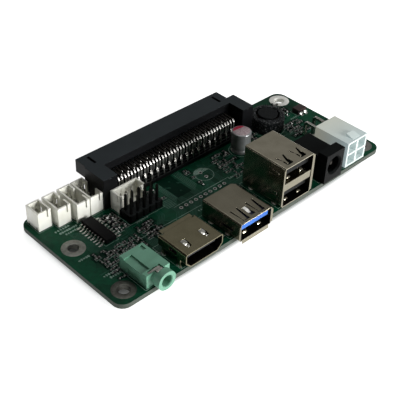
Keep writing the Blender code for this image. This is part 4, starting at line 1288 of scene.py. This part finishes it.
def empty_footprints():
    """Bare places where parts are not fitted: a fine-pitch chip, a row of holes and a pair of holes, the
    holes drawn as black discs of painted shade.
    """
    field, pad = (worked(bench_mesh([box((-0.5, 0.5), (-0.5, 0.5), (0.0, height))]), bevel=0.01, segments=1)
                  for height in (0.05, 0.04))
    chip_x = 46.4
    stamped("empty_chip_field", field, [(chip_x, 30.0, 0, 0, (5.8, 10.4, 1.1))], DARK_MASK_AND_PAINTED_SHADE)
    pads = [(chip_x + s * 3.5, 25.2 + 0.5 * k, 0, 0, (0.9, 0.2, 1.0)) for k in range(20) for s in BOTH]
    stamped("empty_chip_pads", pad, pads, TRACK)
    holes = [(40.9 + 2.06 * k, 20.6, 0.0, 0, (0.62, 0.62, 1.2)) for k in range(10)]
    holes += [(57.7, y, 0.02, 0, (0.66, 0.66, 1.4)) for y in (27.0, 29.7)]
    stamped("empty_hole_rings", ring_pad(24), holes, SOLDER)
    # Black discs in the empty holes: painted shade inside them.
    plug = bench_mesh([turned([(0.001, 0.02), (0.72, 0.02), (0.72, 0.0), (0.001, 0.0)], sides=20)])
    dark = [(x, y, 0.03, 0, (0.62, 0.62, 1.0)) for x, y, *_ in holes]
    stamped("empty_holes", plug, dark, SOCKET_BLACK)


def vias(paths):
    """Small plated vias at the ends of the tracks, on both faces, except where a tail is."""
    ends = [end for path in paths for end in (path[0], path[-1])
            if all(math.dist(end, tail[:2]) > 0.9 for tail in TAILS)]
    points = [(x, y, level, 0, (0.34, 0.34, size)) for x, y in ends
              for level, size in ((0.0, 1.6), (-THICKNESS, -1.6))]
    stamped("vias", ring_pad(10), points, TRACK)


def within_edges(path, margin=1.2):
    """A path moved in from the board's edges."""
    return [(min(max(x, margin), LENGTH - margin), min(max(y, margin), WIDTH - margin)) for x, y in path]


def clear_of_lands(paths):
    """The paths that keep away from the mounting holes."""
    lands = [middle(f"mounting_hole_plating_{n}") for n in "1234"]
    return [path for path in paths
            if all(math.dist(point, (land.x, land.y)) > 4.6 for point in path for land in lands)]


def track_paths(seed=11):
    """Bundles of parallel tracks that leave the card connector and turn at 45 degrees."""
    draw = random.Random(seed)
    paths = []
    starts = [8.0, 14.5, 21.0, 27.5, 33.0, 38.5, 43.0, 48.5, 54.0, 59.5, 65.0, 70.5, 77.0, 83.5, 89.0, 96.0,
              103.0]
    for start in starts:
        lanes = draw.randint(5, 9)
        bottom = draw.uniform(3.0, 12.0)
        top = draw.uniform(30.5, 33.5)
        shift = draw.choice((-1, 1)) * draw.uniform(2.5, 6.0)
        knee = draw.uniform(16.0, 24.0)
        for lane in range(lanes):
            x = start + lane * 0.45
            y = knee + lane * 0.19 * (1 if shift > 0 else -1)
            paths.append(within_edges([(x, top - lane * 0.3), (x, y), (x + shift, y - abs(shift)),
                                       (x + shift, bottom + lane * 0.4)]))
    for _ in range(90):
        x, y = draw.uniform(3, LENGTH - 3), draw.uniform(3, WIDTH - 3)
        run, step = draw.uniform(2, 8), draw.choice((-1, 1)) * draw.uniform(0.6, 2.2)
        paths.append(within_edges([(x, y), (x + run, y), (x + run + abs(step), y + step),
                                   (x + run + abs(step) + 2, y + step)]))
    return [path for path in clear_of_lands(paths)
            if all(math.dist(a, b) > 0.05 for a, b in zip(path, path[1:]))]


def tracks():
    """Copper tracks on both faces, their vias, and the fine lines by the empty chip."""
    paths = track_paths()
    ribbons("tracks_above", paths, 0.2, 0.01, TRACK)
    mirrored = clear_of_lands([[(LENGTH - x, y) for x, y in path] for path in paths])
    ribbons("tracks_below", mirrored, 0.2, -THICKNESS - 0.01, TRACK)
    vias(paths)
    fan = [[(43.1 - 0.5 * k, 35.0), (43.1 - 0.5 * k, 24.8 - 0.4 * k)] for k in range(4)]
    fan += [[(50.3 + 0.55 * k, 35.0), (50.3 + 0.55 * k, 24.4 + 0.4 * k)] for k in range(5)]
    fan += [[(37.4, 22.9 + 0.55 * k), (41.0, 22.9 + 0.55 * k)] for k in range(7)]
    fan += [[(37.6 + 0.8 * k, 22.7), (37.6 + 0.8 * k, 26.5)] for k in range(5)]
    ribbons("fine_tracks_by_the_empty_chip", fan, 0.16, 0.03, FINE_TRACK)


def circle_path(x, y, radius, steps=40):
    angles = (math.radians(360 * k / steps) for k in range(steps + 1))
    return [(x + radius * math.cos(a), y + radius * math.sin(a)) for a in angles]


def outline_path(x0, x1, y0, y1):
    return [(x0, y0), (x1, y0), (x1, y1), (x0, y1), (x0, y0)]


def silkscreen():
    """Printed outlines of the parts and plain tick marks; no lettering."""
    paths = []
    for node in ("control_chip_body", "pin_strip_base", "hdmi_shell", "usb3_shell", "usb2_stack_shell",
                 "dc_jack_housing", "power_connector_housing", "audio_jack_housing", "power_diode_body"):
        low, high = extent(node)
        gap = 0.45
        y0 = max(low.y - gap, 0.6)
        paths.append(outline_path(low.x - gap, high.x + gap, y0, high.y + gap))
    for letter in "abcde":
        low, high = extent(f"wire_header_{letter}_housing")
        paths.append(outline_path(low.x - 0.25, high.x + 0.25, low.y - 0.3, min(high.y + 0.3, WIDTH - 0.4)))
    centre = middle("capacitor_can")
    paths.append(circle_path(centre.x, centre.y, 3.85))
    centre = middle("inductor_shield")
    paths.append(circle_path(centre.x, centre.y, 6.5))
    paths.append([(42.0, 35.9), (62.3, 35.6)])
    x, y, radius = 57.9, 28.4, 3.3                # a half-filled circle
    paths.append(circle_path(x, y, radius))
    for k in range(11):
        rise = 1.1 + 0.19 * k
        half = math.sqrt(radius ** 2 - rise ** 2)
        paths.append([(x - half, y + rise), (x + half, y + rise)])
    paths += [[(39.2, 22.1), (62.8, 22.1)], [(22.4, 17.9), (46.4, 17.5)]]
    draw = random.Random(5)
    for x, y, turn, _, _ in chip_parts():
        if draw.random() < 0.55:
            reach_x, reach_y = (1.05, 0.6) if turn == 0 else (0.6, 1.05)
            paths.append([(x - reach_x, y - reach_y), (x + reach_x, y - reach_y)])
    ribbons("printed_lines", paths, 0.14, 0.03, INK, 0.02)

    ticks = []
    legends = [  # x, y, how many dashes, step, turn
        (5.6, 36.4, 6, 0.9, 0), (6.3, 35.0, 8, 0.8, 0), (7.4, 33.6, 7, 0.8, 0), (3.2, 22.0, 5, 0.8, 0),
        (4.4, 12.4, 7, 0.8, 0), (5.6, 11.0, 5, 0.8, 0), (22.0, 9.0, 3, 0.8, 90), (62.6, 21.4, 5, 0.8, 0),
        (44.0, 16.0, 8, 0.9, 0), (90.4, 22.6, 5, 0.8, 0), (103.8, 31.4, 6, 0.8, 0), (26.2, 24.2, 6, 0.8, 0)]
    for x, y, count, step, turn in legends:
        for k in range(count):
            along = k * step
            point = (x + along, y) if turn == 0 else (x, y + along)
            ticks.append((*point, 0.02, turn, (draw.choice((0.35, 0.5)), draw.choice((0.5, 0.8)), 1.0)))
    height = (0.0, 0.02)
    tick = worked(bench_mesh([box((-0.5, 0.5), (-0.5, 0.5), height), box((-0.9, 0.9), (-0.1, 0.1), height)]))
    stamped("printed_ticks", tick, ticks, INK)


# --- floor, light and camera ---
def studio():
    """A pale floor that glows round the object, with a painted shadow under the board, a soft world and three
    soft lamps.
    """
    pale = Finish("pale_floor")
    grain = pale.noise(20.0, 2.0)
    pale.set("Base Color", pale.mix(grain * 0.1, srgb(252, 252, 252), srgb(244, 244, 244)))
    pale.set("Roughness", grain * 0.1 + 0.6)
    # Under the board the glow drops to dark grey: a painted shadow under the board.
    across = (pale.axis("X") - 0.0013) * (1 / 0.0585)
    along = (pale.axis("Y") - 0.0013) * (1 / 0.0248)
    across, along = across * across, along * along
    outside = pale.ramp(across * across * across + along * along * along, (0.7, 0.0), (1.0, 1.0))
    pale.set("Emission Color", pale.mix(outside, srgb(30, 30, 30), srgb(255, 255, 255)))
    pale.set("Emission Strength", 0.8)
    bpy.ops.mesh.primitive_plane_add(size=8.0, location=(0, 0, cad_low.z - 0.0001))
    floor = bpy.context.object
    floor.name = "floor"
    floor.data.materials.append(pale.material)

    world = bpy.data.worlds.new("studio")
    world.use_nodes = True
    nodes, links = world.node_tree.nodes, world.node_tree.links
    coordinates = nodes.new("ShaderNodeTexCoord")
    split = nodes.new("ShaderNodeSeparateXYZ")
    shade = nodes.new("ShaderNodeMapRange")
    for socket, value in (("From Min", -0.8), ("From Max", 0.8), ("To Min", 0.015), ("To Max", 0.17)):
        shade.inputs[socket].default_value = value
    links.new(coordinates.outputs["Generated"], split.inputs[0])
    links.new(split.outputs["X"], shade.inputs["Value"])
    links.new(shade.outputs["Result"], nodes["Background"].inputs["Strength"])
    nodes["Background"].inputs["Color"].default_value = (1.0, 0.99, 0.97, 1.0)
    bpy.context.scene.world = world
    bpy.context.scene.view_settings.view_transform = "Standard"

    for name, position, size, power in (("front_softbox", (0.3, -0.85, 0.2), 0.5, 12.0),
                                        ("overhead_softbox", (0.1, 0.15, 0.9), 0.7, 1.7),
                                        ("back_card", (0.58, 0.6, 0.66), 1.0, 0.38)):
        light = bpy.data.lights.new(name, "AREA")
        light.shape = "DISK"
        light.size = size
        light.energy = power
        lamp = bpy.data.objects.new(name, light)
        lamp.location = position
        lamp.rotation_euler = (-Vector(position)).to_track_quat("-Z", "Y").to_euler()
        bpy.context.scene.collection.objects.link(lamp)


def camera():
    """Three-quarter view from the front left, a little rolled."""
    azimuth, elevation, roll = math.radians(-45.37), math.radians(38.25), math.radians(2.44)
    target, distance = Vector((-0.009215, -0.003615, 0.003)), 0.26493
    back = Vector((math.sin(azimuth) * math.cos(elevation), -math.cos(azimuth) * math.cos(elevation),
                   math.sin(elevation)))
    right = Vector((0, 0, 1)).cross(back).normalized()
    up = back.cross(right)
    rolled_right = right * math.cos(roll) + up * math.sin(roll)
    rolled_up = up * math.cos(roll) - right * math.sin(roll)
    data = bpy.data.cameras.new("camera")
    data.lens = 77.38
    data.sensor_width = 36.0
    data.clip_start = 0.01
    obj = bpy.data.objects.new("camera", data)
    turn = Matrix((rolled_right, rolled_up, back)).transposed().to_4x4()
    obj.matrix_world = Matrix.Translation(target + back * distance) @ turn
    bpy.context.scene.collection.objects.link(obj)
    bpy.context.scene.camera = obj


camera()
studio()
bare_board()
hole_platings()
card_connector()
wire_headers()
pin_strip()
control_chip()
power_diode()
audio_jack()
dc_jack()
hdmi_port()
usb3_port()
usb2_stack()
power_connector()
capacitor()
inductor()
solder_joints()
place_chip_parts()
empty_footprints()
tracks()
silkscreen()
